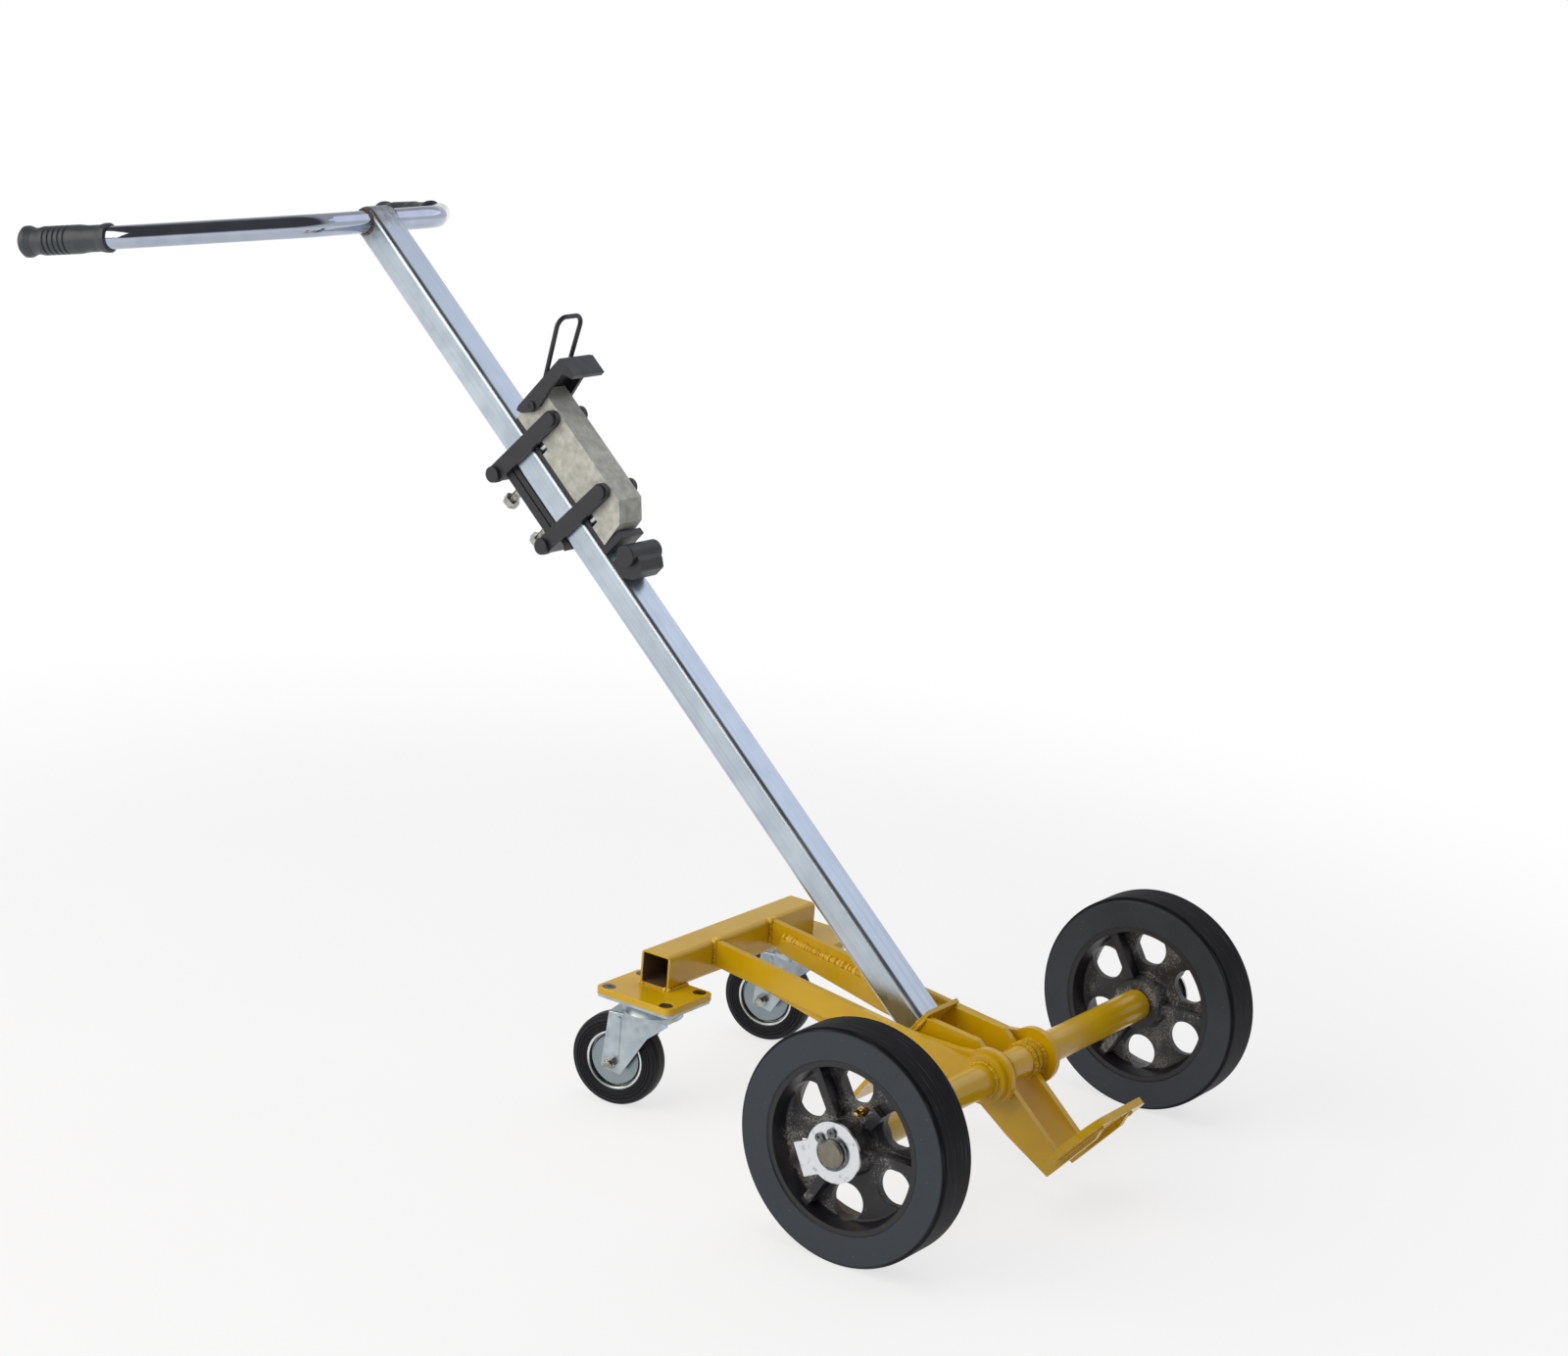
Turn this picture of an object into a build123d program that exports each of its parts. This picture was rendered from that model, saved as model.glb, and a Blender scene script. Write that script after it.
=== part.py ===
import os
from math import asin, cos, degrees, radians, sin

from build123d import *

os.makedirs("parts", exist_ok=True)

# Driving dimensions in millimetres.
# X runs forward, Y to the left, Z up; the origin is on the floor under the middle of the overall box.
wheel_diameter = 250.0
wheel_width = 51.0
wheel_track = 590.0
hub_reach = 34.5
castor_diameter = 107.0
castor_width = 28.0
castor_height = 134.5
castor_trail = 38.0
castor_yaw = 12.0
castor_behind_axle = 380.0
castor_spread = 142.0
axle_diameter = 30.0
axle_stick_out = 9.5
mast_lean = 41.7
mast_width = 42.0
mast_depth = 36.0
mast_behind_axle = 66.0
mast_length = 1250.0
tube_diameter = 27.0
strip_thickness = 8.0
fit_gap = 0.05
running_gap = 0.3
axle_ahead = 554.45

# Sizes that follow from the driving dimensions.
wheel_radius = wheel_diameter / 2
castor_radius = castor_diameter / 2
half_track = wheel_track / 2
half_wheel = wheel_width / 2
half_mast = mast_width / 2
axle_radius = axle_diameter / 2
tube_radius = tube_diameter / 2
mast_front = -mast_behind_axle + mast_depth / 2
mast_back = -mast_behind_axle - mast_depth / 2

# Side views: the first lies level on the axle, the second leans with the mast.
# In both, the first direction points forward, the second up, and the normal to the right-hand side.
axle_centre = (axle_ahead, 0, wheel_radius)
axle_side = Plane(origin=axle_centre, x_dir=(1, 0, 0), z_dir=(0, -1, 0))
mast_side = Plane(
    origin=axle_centre,
    x_dir=(sin(radians(mast_lean)), 0, cos(radians(mast_lean))),
    z_dir=(0, -1, 0),
)
axle_line = Axis(axle_centre, (0, 1, 0))
hands = ((1, "right"), (-1, "left"))
pieces = {}


def mirrored(name):
    """Add the left-hand twin of a right-hand piece."""
    with BuildPart() as twin:
        mirror(pieces[name + "_right"], about=Plane.XZ)
    pieces[name + "_left"] = twin.part


def cross_pin(plane, spot, radius, head_radius, head_start, head_height):
    """Turn a pin across the trolley at a spot of a side view, with a bevelled round head at each end."""
    head_bevel = 0.8
    with BuildPart() as pin:
        with BuildSketch(plane):
            with Locations(spot):
                Circle(radius)
        extrude(amount=head_start, both=True)
        for hand, _ in hands:
            with BuildSketch(plane.offset(hand * head_start)):
                with Locations(spot):
                    Circle(head_radius)
            extrude(amount=hand * head_height)
        chamfer(pin.edges().filter_by(GeomType.CIRCLE).group_by(Axis.Y)[0], head_bevel)
        chamfer(pin.edges().filter_by(GeomType.CIRCLE).group_by(Axis.Y)[-1], head_bevel)
    return pin.part


# Rear castor rail, an open square tube.
rail_size = 40.0
rail_wall = 3.0
rail_corner = 5.5
rail_length = 275.0
rail_behind_axle = 384.3
plate_thickness = 8.0
plate_top = castor_height + plate_thickness
rail_plane = Plane(
    origin=(axle_ahead - rail_behind_axle, -rail_length / 2, plate_top + rail_size / 2),
    x_dir=(1, 0, 0),
    z_dir=(0, 1, 0),
)
with BuildPart() as rail:
    with BuildSketch(rail_plane):
        RectangleRounded(rail_size, rail_size, rail_corner)
        offset(amount=-rail_wall, mode=Mode.SUBTRACT)
    extrude(amount=rail_length)
pieces["rail"] = rail.part

# Castor plates under the rail's ends, with countersunk screw holes.
plate_length = 105.0
plate_width = 80.0
plate_corner = 7.0
plate_bevel = 0.8
screw_pitch_x = 80.0
screw_pitch_y = 60.0
screw_radius = 4.5
screw_head = 7.4
screw_clearance = 0.5
head_clearance = 0.8
castor_x = axle_ahead - castor_behind_axle
for hand, word in hands:
    plate_plane = Plane.XY.offset(castor_height)
    with BuildPart() as plate:
        with BuildSketch(plate_plane):
            with Locations((castor_x, -hand * castor_spread)):
                RectangleRounded(plate_length, plate_width, plate_corner)
        extrude(amount=plate_thickness)
        with Locations((castor_x, -hand * castor_spread, plate_top)):
            with GridLocations(screw_pitch_x, screw_pitch_y, 2, 2):
                CounterSinkHole(screw_radius + screw_clearance, screw_head + head_clearance)
        chamfer(plate.faces().sort_by(Axis.Z)[-1].outer_wire().edges(), plate_bevel)
    pieces["castor_plate_" + word] = plate.part

# Arms, flat strips on edge from the rail to an eye on the axle tube.
axle_tube_radius = 18.0
arm_inner = 49.0
arm_height = 29.0
arm_start = -rail_behind_axle + rail_size / 2
arm_rear = plate_top + rail_size + 0.5 - wheel_radius - arm_height / 2
arm_eye = 27.0
cheek_outline = (
    (-348, 27),
    (-342.5, 41.7),
    (-213.5, 23.9),
    (-40, 22),
    (0, 27),
    (0, -32),
    (-20, -31),
    (-197, -5),
)
cheek_eye = 32.0
for hand, word in hands:
    with BuildPart() as arm:
        with BuildSketch(axle_side.offset(hand * arm_inner)):
            with BuildLine():
                Polyline(
                    (arm_start, arm_rear - arm_height / 2),
                    (arm_start, arm_rear + arm_height / 2),
                    (0, arm_height / 2),
                    (0, -arm_height / 2),
                    close=True,
                )
            make_face()
            Circle(arm_eye)
            Circle(axle_tube_radius + fit_gap, mode=Mode.SUBTRACT)
        extrude(amount=hand * strip_thickness)
    pieces["arm_" + word] = arm.part
    with BuildPart() as cheek:
        with BuildSketch(axle_side.offset(hand * (arm_inner - strip_thickness))):
            with BuildLine():
                Polyline(*cheek_outline, close=True)
            make_face()
            Circle(cheek_eye)
            Circle(axle_tube_radius + fit_gap, mode=Mode.SUBTRACT)
        extrude(amount=hand * strip_thickness)
    pieces["cheek_" + word] = cheek.part

# Axle tube and the bare axle through it, grooved for the retaining rings.
hub_clearance = 1.0
washer_start = half_track + hub_reach + running_gap
washer_thickness = 3.0
ring_start = washer_start + washer_thickness + running_gap
ring_thickness = 2.2
groove_radius = 14.0
axle_bevel = 2.0
with BuildPart() as axle_tube:
    with BuildSketch(axle_side):
        Circle(axle_tube_radius)
        Circle(axle_radius + fit_gap, mode=Mode.SUBTRACT)
    extrude(amount=half_track - half_wheel - hub_clearance, both=True)
pieces["axle_tube"] = axle_tube.part
with BuildPart() as axle:
    with BuildSketch(axle_side):
        Circle(axle_radius)
    extrude(amount=half_track + hub_reach + axle_stick_out, both=True)
    chamfer(axle.edges().filter_by(GeomType.CIRCLE), axle_bevel)
    for hand, _ in hands:
        with BuildSketch(axle_side.offset(hand * ring_start)):
            Circle(axle_radius + 1)
            Circle(groove_radius, mode=Mode.SUBTRACT)
        extrude(amount=hand * ring_thickness, mode=Mode.SUBTRACT)
pieces["axle"] = axle.part

# Step plate under the mast's foot, sloping a little against the mast.
step_slope = 0.111
step_mast_height = 95.3
step_rear = -190.0
step_front = -30.0
step_half_width = 30.0
step_thickness = 5.0
step_corner = 6.0


def step_height(forward):
    """Height along the mast of the step plate's upper face."""
    return step_mast_height + step_slope * (forward + mast_behind_axle)


with BuildPart() as step_plate:
    with BuildSketch(mast_side):
        with BuildLine():
            Polyline(
                (step_rear, step_height(step_rear)),
                (step_front, step_height(step_front)),
                (step_front, step_height(step_front) - step_thickness),
                (step_rear, step_height(step_rear) - step_thickness),
                close=True,
            )
        make_face()
    extrude(amount=step_half_width, both=True)
    fillet(step_plate.faces().sort_by(Axis.X)[0].edges().sort_by(SortBy.LENGTH)[:2], step_corner)
pieces["step_plate"] = step_plate.part

# Foot brackets from the step plate over the axle tube down to the toe plate.
bracket_outer = step_half_width
bracket_rear = -150.0
bracket_front = -35.0
toe_top = -106.0
toe_thickness = 8.0
toe_rear = 6.0
toe_front = 86.0
toe_half_width = 60.0
toe_corner = 25.0
bracket_lip = 6.0
bracket_outline = (
    (bracket_rear, step_height(bracket_rear) - step_thickness),
    (bracket_front, step_height(bracket_front) - step_thickness),
    (4, 40),
    (toe_rear, toe_top),
    (toe_rear, toe_top - toe_thickness),
    (toe_front - 10, toe_top - toe_thickness),
    (toe_front - 30, toe_top - toe_thickness - bracket_lip),
    (-22, toe_top - toe_thickness - bracket_lip),
    (-35, -60),
    (-45, 20),
)
for hand, word in hands:
    with BuildPart() as foot_bracket:
        with BuildSketch(mast_side.offset(hand * (bracket_outer - strip_thickness))):
            with BuildLine():
                Polyline(*bracket_outline, close=True)
            make_face()
            Circle(axle_tube_radius + fit_gap, mode=Mode.SUBTRACT)
        extrude(amount=hand * strip_thickness)
    pieces["foot_bracket_" + word] = foot_bracket.part

# Toe plate that goes under the load, with rounded front corners.
toe_plane = Plane(
    origin=mast_side.from_local_coords((0, toe_top, 0)),
    x_dir=mast_side.x_dir,
    z_dir=mast_side.y_dir,
)
with BuildPart() as toe_plate:
    with BuildSketch(toe_plane) as toe_shape:
        with Locations(((toe_rear + toe_front) / 2, 0)):
            Rectangle(toe_front - toe_rear, 2 * toe_half_width)
        fillet(toe_shape.vertices().group_by(Axis.X)[-1], toe_corner)
    extrude(amount=-toe_thickness)
pieces["toe_plate"] = toe_plate.part

# Mast, a rectangular tube cut to the step plate and closed by a rounded top around the handlebar.
mast_wall = 3.0
mast_corner = 6.0
with BuildPart() as mast:
    with BuildSketch(mast_side):
        with BuildLine():
            Polyline(
                (mast_back, mast_length),
                (mast_back, step_height(mast_back)),
                (mast_front, step_height(mast_front)),
                (mast_front, mast_length),
            )
            ThreePointArc(
                (mast_front, mast_length),
                (-mast_behind_axle, mast_length + mast_depth / 2),
                (mast_back, mast_length),
            )
        make_face()
    extrude(amount=half_mast, both=True)
    rounded = [
        edge
        for face in (mast.faces().sort_by(Axis.Y)[0], mast.faces().sort_by(Axis.Y)[-1])
        for edge in face.edges().sort_by(Axis.Z)[1:]
    ]
    fillet(rounded, mast_corner)
    inner_back = mast_back + mast_wall
    inner_front = mast_front - mast_wall
    with BuildSketch(mast_side):
        with BuildLine():
            Polyline(
                (inner_back, mast_length),
                (inner_back, step_height(inner_back) - 1),
                (inner_front, step_height(inner_front) - 1),
                (inner_front, mast_length),
            )
            ThreePointArc(
                (inner_front, mast_length),
                (-mast_behind_axle, mast_length + mast_depth / 2 - mast_wall),
                (inner_back, mast_length),
            )
        make_face()
    extrude(amount=half_mast - mast_wall, both=True, mode=Mode.SUBTRACT)
    with BuildSketch(mast_side):
        with Locations((-mast_behind_axle, mast_length)):
            Circle(tube_radius + fit_gap)
    extrude(amount=half_mast + 1, both=True, mode=Mode.SUBTRACT)
pieces["mast"] = mast.part

# Handlebar, a round tube through the mast's top. Both arms sweep out and back to a second bend, and the
# grips beyond it point almost straight back.
bar_drop = 9.3
bar_half_straight = 104.0
bar_sweep = 49.0
bar_arm = 217.7
grip_sweep = 14.5
grip_stem = 136.0
bar_bend = 55.0
bar_wall = 2.5
grip_length = 118.0
grip_end = 6.0
bar_plane = Plane(
    origin=mast_side.from_local_coords((-mast_behind_axle, mast_length, 0)),
    x_dir=(0, 1, 0),
    z_dir=(-sin(radians(bar_drop)), 0, cos(radians(bar_drop))),
)
bar_way = Vector(-sin(radians(bar_sweep)), cos(radians(bar_sweep)))
grip_way = Vector(-sin(radians(grip_sweep)), cos(radians(grip_sweep)))
bar_corner = Vector(-bar_half_straight, 0)
bar_knee = bar_corner + bar_way * bar_arm
grip_tip = bar_knee + grip_way * grip_stem
right_half = [grip_tip - grip_way * grip_end, bar_knee, bar_corner]
bar_points = [(point.X, point.Y) for point in right_half]
bar_points += [(-point.X, point.Y) for point in reversed(right_half)]
with BuildPart() as handlebar:
    with BuildLine(bar_plane) as bar_path:
        FilletPolyline(*bar_points, radius=bar_bend)
    with BuildSketch(Plane(origin=bar_path.wire() @ 0, z_dir=bar_path.wire() % 0)):
        Circle(tube_radius)
        Circle(tube_radius - bar_wall, mode=Mode.SUBTRACT)
    sweep()
pieces["handlebar"] = handlebar.part

# Moulded grips with a collar, a swollen middle cut by ring grooves and a flared, domed end.
grip_point = bar_plane.from_local_coords((grip_tip.X, grip_tip.Y, 0))
grip_axis_way = bar_plane.from_local_coords(tuple(grip_tip + grip_way)) - grip_point
grip_plane = Plane(origin=grip_point, x_dir=grip_axis_way, z_dir=bar_plane.z_dir)
grip_waist = 15.5
grip_swell = 16.9
grip_collar = 17.1
grip_flare = 18.5
groove_floor = 15.3
groove_count = 5
groove_pitch = 7.0
groove_zone = -66.0
groove_mouth = 3.4
groove_slope = 0.9
grip_outline = [(-grip_length, tube_radius + fit_gap), (-grip_length, grip_collar)]
grip_outline += [(5 - grip_length, grip_collar), (12 - grip_length, grip_waist)]
grip_outline += [(groove_zone - 24, grip_waist), (groove_zone - 12, grip_swell)]
for groove in range(groove_count):
    groove_at = groove_zone + groove * groove_pitch
    grip_outline += [(groove_at, grip_swell), (groove_at + groove_slope, groove_floor)]
    grip_outline += [(groove_at + groove_mouth - groove_slope, groove_floor)]
    grip_outline += [(groove_at + groove_mouth, grip_swell)]
grip_outline += [(-30, grip_swell), (-23, grip_waist), (-18, grip_waist), (-10, grip_flare)]
grip_outline += [(-5, grip_flare), (-1.5, grip_waist), (0, 9), (0, 0)]
grip_outline += [(-grip_end, 0), (-grip_end, tube_radius + fit_gap)]
with BuildPart() as grip_right:
    with BuildSketch(grip_plane):
        with BuildLine():
            Polyline(*grip_outline, close=True)
        make_face()
    revolve(axis=Axis(grip_point, grip_axis_way))
pieces["grip_right"] = grip_right.part
mirrored("grip")

# Stop on the mast's front face under the sliding clamp, a lug with a round cross bar seated in its top.
stop_top = 727.0
stop_bottom = 693.0
stop_front = -13.5
stop_half_width = 20.0
stop_corner = 4.0
bar_spot = (-22.6, 718.6)
bar_radius = 12.5
bar_half_length = 27.0
bar_bevel = 1.0
with BuildPart() as slide_stop:
    with BuildSketch(mast_side) as stop_shape:
        with BuildLine():
            Polyline(
                (mast_front, stop_top),
                (stop_front, stop_top),
                (stop_front, stop_bottom + 10),
                (-20, stop_bottom),
                (-36, stop_bottom),
                (mast_front, stop_bottom + 12),
                close=True,
            )
        make_face()
        fillet(stop_shape.vertices().sort_by(Axis.X)[2:], stop_corner)
        with Locations(bar_spot):
            Circle(bar_radius + fit_gap, mode=Mode.SUBTRACT)
    extrude(amount=stop_half_width, both=True)
pieces["slide_stop"] = slide_stop.part
with BuildPart() as stop_bar:
    with BuildSketch(mast_side):
        with Locations(bar_spot):
            Circle(bar_radius)
    extrude(amount=bar_half_length, both=True)
    chamfer(stop_bar.edges().filter_by(GeomType.CIRCLE), bar_bevel)
pieces["stop_bar"] = stop_bar.part

# Large wheels: section planes run outward from the axle, with their second direction to the right.
wheel_centre_point = (axle_ahead, -half_track, wheel_radius)
wheel_side = Plane(origin=wheel_centre_point, x_dir=(1, 0, 0), z_dir=(0, -1, 0))
wheel_section = Plane(origin=wheel_centre_point, x_dir=(1, 0, 0), z_dir=(0, 0, -1))
rim_radius = 91.0
rim_inner = 85.0
rim_root = 81.0
web_half = 4.5
hub_end = 29.0
hub_root = 31.0
bush_radius = 17.5
rib_width = 12.0
rib_height = 19.0
cast_draft = 3.0
hole_circle = 62.5
hole_radius = 19.5
boss_angle = 54.0
boss_circle = 45.0
boss_length = 24.0
boss_width = 16.0
boss_height = 14.0
rim_step = 1.0
web_fillet = 4.0
shoulder = 5.0

# Tyre with rounded shoulders.
with BuildPart() as tyre_right:
    with BuildSketch(wheel_section) as tyre_shape:
        with Locations(((rim_radius + wheel_radius) / 2, 0)):
            Rectangle(wheel_radius - rim_radius, wheel_width)
        fillet(tyre_shape.vertices().group_by(Axis.X)[-1], shoulder)
        chamfer(tyre_shape.vertices().group_by(Axis.X)[0], rim_step)
    revolve(axis=axle_line)
pieces["tyre_right"] = tyre_right.part
mirrored("tyre")

# Cast centre: tapered hub that is longer outside, dished web with six holes, three ribs a side,
# tapered rim and a grease boss.
with BuildPart() as wheel_centre_right:
    with BuildSketch(wheel_section) as centre_shape:
        with BuildLine():
            Polyline(
                (bush_radius, -half_wheel),
                (hub_end, -half_wheel),
                (hub_root, -web_half),
                (rim_root, -web_half),
                (rim_inner, rim_step - half_wheel),
                (rim_radius, rim_step - half_wheel),
                (rim_radius, half_wheel - rim_step),
                (rim_inner, half_wheel - rim_step),
                (rim_root, web_half),
                (hub_root, web_half),
                (hub_end, hub_reach),
                (bush_radius, hub_reach),
                close=True,
            )
        make_face()
        corners = centre_shape.vertices().filter_by_position(Axis.X, hub_root - 0.1, rim_root + 0.1)
        fillet(corners, web_fillet)
    revolve(axis=axle_line)
    with BuildSketch(wheel_side):
        with PolarLocations((hub_end + rim_inner) / 2, 3):
            Rectangle(rim_inner - hub_end + 4, rib_width)
    extrude(amount=rib_height, both=True, taper=cast_draft)
    with BuildSketch(wheel_side):
        with PolarLocations(boss_circle, 1, start_angle=boss_angle):
            Rectangle(boss_length, boss_width)
    extrude(amount=boss_height, taper=cast_draft)
    with BuildSketch(wheel_side):
        with PolarLocations(hole_circle, 6, start_angle=30):
            Circle(hole_radius)
    extrude(amount=half_wheel, both=True, mode=Mode.SUBTRACT)
pieces["wheel_centre_right"] = wheel_centre_right.part
mirrored("wheel_centre")

# Plain bush in the hub.
with BuildPart() as bush_right:
    with BuildSketch(wheel_side.offset(-half_wheel)):
        Circle(bush_radius)
        Circle(axle_radius + fit_gap, mode=Mode.SUBTRACT)
    extrude(amount=half_wheel + hub_reach)
pieces["wheel_bush_right"] = bush_right.part
mirrored("wheel_bush")

# Grease nipple on the web beside the boss.
nipple_circle = 41.0
nipple_angle = 74.0
nipple_hex = 5.4
nipple_neck = 2.8
nipple_head = 3.8
hex_end = web_half + 8
neck_end = hex_end + 3
nipple_spot = (nipple_circle * cos(radians(nipple_angle)), nipple_circle * sin(radians(nipple_angle)))
with BuildPart() as nipple_right:
    with BuildSketch(wheel_side.offset(web_half)):
        with Locations(nipple_spot):
            RegularPolygon(nipple_hex, 6)
    extrude(amount=hex_end - web_half)
    with BuildSketch(wheel_side.offset(hex_end)):
        with Locations(nipple_spot):
            Circle(nipple_neck)
    extrude(amount=neck_end - hex_end)
    with BuildSketch(wheel_side.offset(neck_end)):
        with Locations(nipple_spot):
            Circle(nipple_head)
    extrude(amount=4.5, taper=18)
pieces["grease_nipple_right"] = nipple_right.part
mirrored("grease_nipple")

# Tab washers and open retaining rings that keep the wheels on the axle.
washer_radius = 32.0
tab_angle = 206.0
tab_width = 36.0
tab_reach = 45.0
gap_angle = 122.0
gap_half = 14.0
with BuildPart() as tab_washer_right:
    with BuildSketch(axle_side.offset(washer_start)):
        Circle(washer_radius)
        with PolarLocations(tab_reach / 2, 1, start_angle=tab_angle):
            Rectangle(tab_reach, tab_width)
        Circle(axle_radius + fit_gap, mode=Mode.SUBTRACT)
    extrude(amount=washer_thickness)
pieces["tab_washer_right"] = tab_washer_right.part
mirrored("tab_washer")
ring_radius = 18.5
ring_slack = 0.1
ear_circle = 20.5
ear_radius = 5.0
ear_hole = 1.5
ear_half_angle = gap_half + 9
gap_width = 6.2
ear_start = gap_angle - ear_half_angle
with BuildPart() as ring_right:
    with BuildSketch(axle_side.offset(ring_start)):
        Circle(ring_radius)
        with PolarLocations(ear_circle, 2, ear_start, 2 * ear_half_angle, endpoint=True):
            Circle(ear_radius)
        Circle(groove_radius + ring_slack, mode=Mode.SUBTRACT)
        with PolarLocations(ear_circle, 1, gap_angle):
            Rectangle(ear_circle, gap_width, mode=Mode.SUBTRACT)
        with PolarLocations(ear_circle + 0.7, 2, ear_start, 2 * ear_half_angle, endpoint=True):
            Circle(ear_hole, mode=Mode.SUBTRACT)
    extrude(amount=ring_thickness - ring_slack)
pieces["retaining_ring_right"] = ring_right.part
mirrored("retaining_ring")

# Castors: the side view stands on the floor under the swivel axis and turns with the fork.
yaw_cos = cos(radians(castor_yaw))
yaw_sin = sin(radians(castor_yaw))
castor_foot = (castor_x, -castor_spread, 0)
castor_side = Plane(origin=castor_foot, x_dir=(yaw_cos, yaw_sin, 0), z_dir=(yaw_sin, -yaw_cos, 0))
castor_level = Plane(origin=castor_foot, x_dir=(yaw_cos, yaw_sin, 0), z_dir=(0, 0, 1))
castor_hub = (-castor_trail, castor_radius)
castor_hub_point = castor_side.from_local_coords((-castor_trail, castor_radius, 0))
castor_line = Axis(castor_hub_point, castor_side.z_dir)
castor_section = Plane(origin=castor_hub_point, x_dir=castor_side.x_dir, z_dir=(0, 0, -1))
swivel_line = Axis(castor_foot, (0, 0, 1))


def second_castor(name):
    """Add the left-hand castor's copy of a right-hand piece, turned the same way."""
    with BuildPart() as copy:
        with Locations((0, 2 * castor_spread, 0)):
            add(pieces[name + "_right"])
    pieces[name + "_left"] = copy.part


# Castor top plate with the upper ball race and the swivel rivet.
top_plate_thickness = 3.5
race_bottom = 128.3
race_radius = 26.0
rivet_radius = 8.0
rivet_head = 11.0
rivet_head_height = 7.0
bridge_bottom = 111.0
bridge_thickness = 3.0
with BuildPart() as castor_top_right:
    with BuildSketch(Plane.XY.offset(castor_height - top_plate_thickness)):
        with Locations((castor_x, -castor_spread)):
            RectangleRounded(plate_length - 2, plate_width - 2, plate_corner - 1)
            with GridLocations(screw_pitch_x, screw_pitch_y, 2, 2):
                Circle(screw_radius + screw_clearance, mode=Mode.SUBTRACT)
    extrude(amount=top_plate_thickness)
    with BuildSketch(Plane.XY.offset(race_bottom)):
        with Locations((castor_x, -castor_spread)):
            Circle(race_radius)
    extrude(amount=castor_height - top_plate_thickness - race_bottom)
    with BuildSketch(Plane.XY.offset(bridge_bottom - rivet_head_height)):
        with Locations((castor_x, -castor_spread)):
            Circle(rivet_radius)
    extrude(amount=race_bottom - bridge_bottom + rivet_head_height)
    with BuildSketch(Plane.XY.offset(bridge_bottom - rivet_head_height)):
        with Locations((castor_x, -castor_spread)):
            Circle(rivet_head)
    extrude(amount=rivet_head_height - running_gap)
pieces["castor_top_plate_right"] = castor_top_right.part
second_castor("castor_top_plate")

# Countersunk screws that hold the castors to their plates.
screw_sink = 0.6
shank_start = 3.0
screw_end = 1.5
with BuildPart() as castor_screws:
    for hand, _ in hands:
        screw_middle = (castor_x, -hand * castor_spread)
        with BuildSketch(Plane.XY.offset(plate_top - screw_sink)):
            with Locations(screw_middle):
                with GridLocations(screw_pitch_x, screw_pitch_y, 2, 2):
                    Circle(screw_head)
        extrude(amount=-(screw_head - screw_radius), taper=45)
        with BuildSketch(Plane.XY.offset(plate_top - shank_start)):
            with Locations(screw_middle):
                with GridLocations(screw_pitch_x, screw_pitch_y, 2, 2):
                    Circle(screw_radius)
        extrude(amount=-(plate_thickness - shank_start + top_plate_thickness + screw_end))
pieces["castor_screws"] = castor_screws.part

# Pressed fork: tapering legs with a crease, a bridge over the wheel and a domed crown.
leg_inner = 17.5
leg_thickness = 3.0
leg_outer = leg_inner + leg_thickness
leg_foot = 12.0
leg_rear_drop = 5.0
leg_front_drop = 12.5
leg_corner = 3.0
leg_rear = -44.0
leg_front = 27.5
leg_waist = (4.5, 90.6)
leg_rise = 2.0
crease_spot = (-30.7, 86.0)
crease_length = 48.0
crease_width = 6.0
crease_height = 1.4
bridge_top = bridge_bottom + bridge_thickness
bridge_round = 2.0
axle_pin_radius = 5.0
crown_root = 20.0
crown_radius = 34.0
crown_top = race_bottom - running_gap
with BuildPart() as fork_right:
    for hand, _ in hands:
        with BuildSketch(castor_side.offset(hand * leg_inner)) as leg_shape:
            with BuildLine():
                Polyline(
                    (leg_rear, bridge_top),
                    (-castor_trail - leg_foot, castor_radius - leg_rear_drop),
                    (-castor_trail + leg_foot, castor_radius - leg_front_drop),
                    leg_waist,
                    (leg_front, bridge_bottom - leg_rise),
                    (leg_front, bridge_top),
                    close=True,
                )
            make_face()
            fillet(leg_shape.vertices().sort_by(Axis.Y)[:2], leg_corner)
        extrude(amount=hand * leg_thickness)
        with BuildSketch(castor_side.offset(hand * leg_outer)):
            with Locations(crease_spot):
                SlotOverall(crease_length, crease_width, rotation=90)
        extrude(amount=hand * crease_height, taper=30)
    with BuildSketch(castor_level.offset(bridge_bottom)):
        with Locations(((leg_rear + leg_front) / 2, 0)):
            Rectangle(leg_front - leg_rear, 2 * leg_outer)
    extrude(amount=bridge_thickness)
    fork_length = Axis(castor_foot, castor_side.x_dir)
    fillet(fork_right.edges().filter_by(fork_length).group_by(Axis.Z)[-1], bridge_round)
    with BuildSketch(castor_side):
        with BuildLine():
            Polyline(
                (0, bridge_bottom),
                (crown_root, bridge_bottom),
                (crown_radius, bridge_top),
                (crown_radius, bridge_top + 5),
                (race_radius + 1, crown_top),
                (0, crown_top),
                close=True,
            )
        make_face()
    revolve(axis=swivel_line)
    with BuildSketch(castor_level.offset(bridge_bottom - 1)):
        Circle(rivet_radius + fit_gap)
    extrude(amount=castor_height, mode=Mode.SUBTRACT)
    with BuildSketch(castor_side):
        with Locations(castor_hub):
            Circle(axle_pin_radius + fit_gap / 2)
    extrude(amount=leg_outer + 1, both=True, mode=Mode.SUBTRACT)
pieces["castor_fork_right"] = fork_right.part
second_castor("castor_fork")

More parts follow.
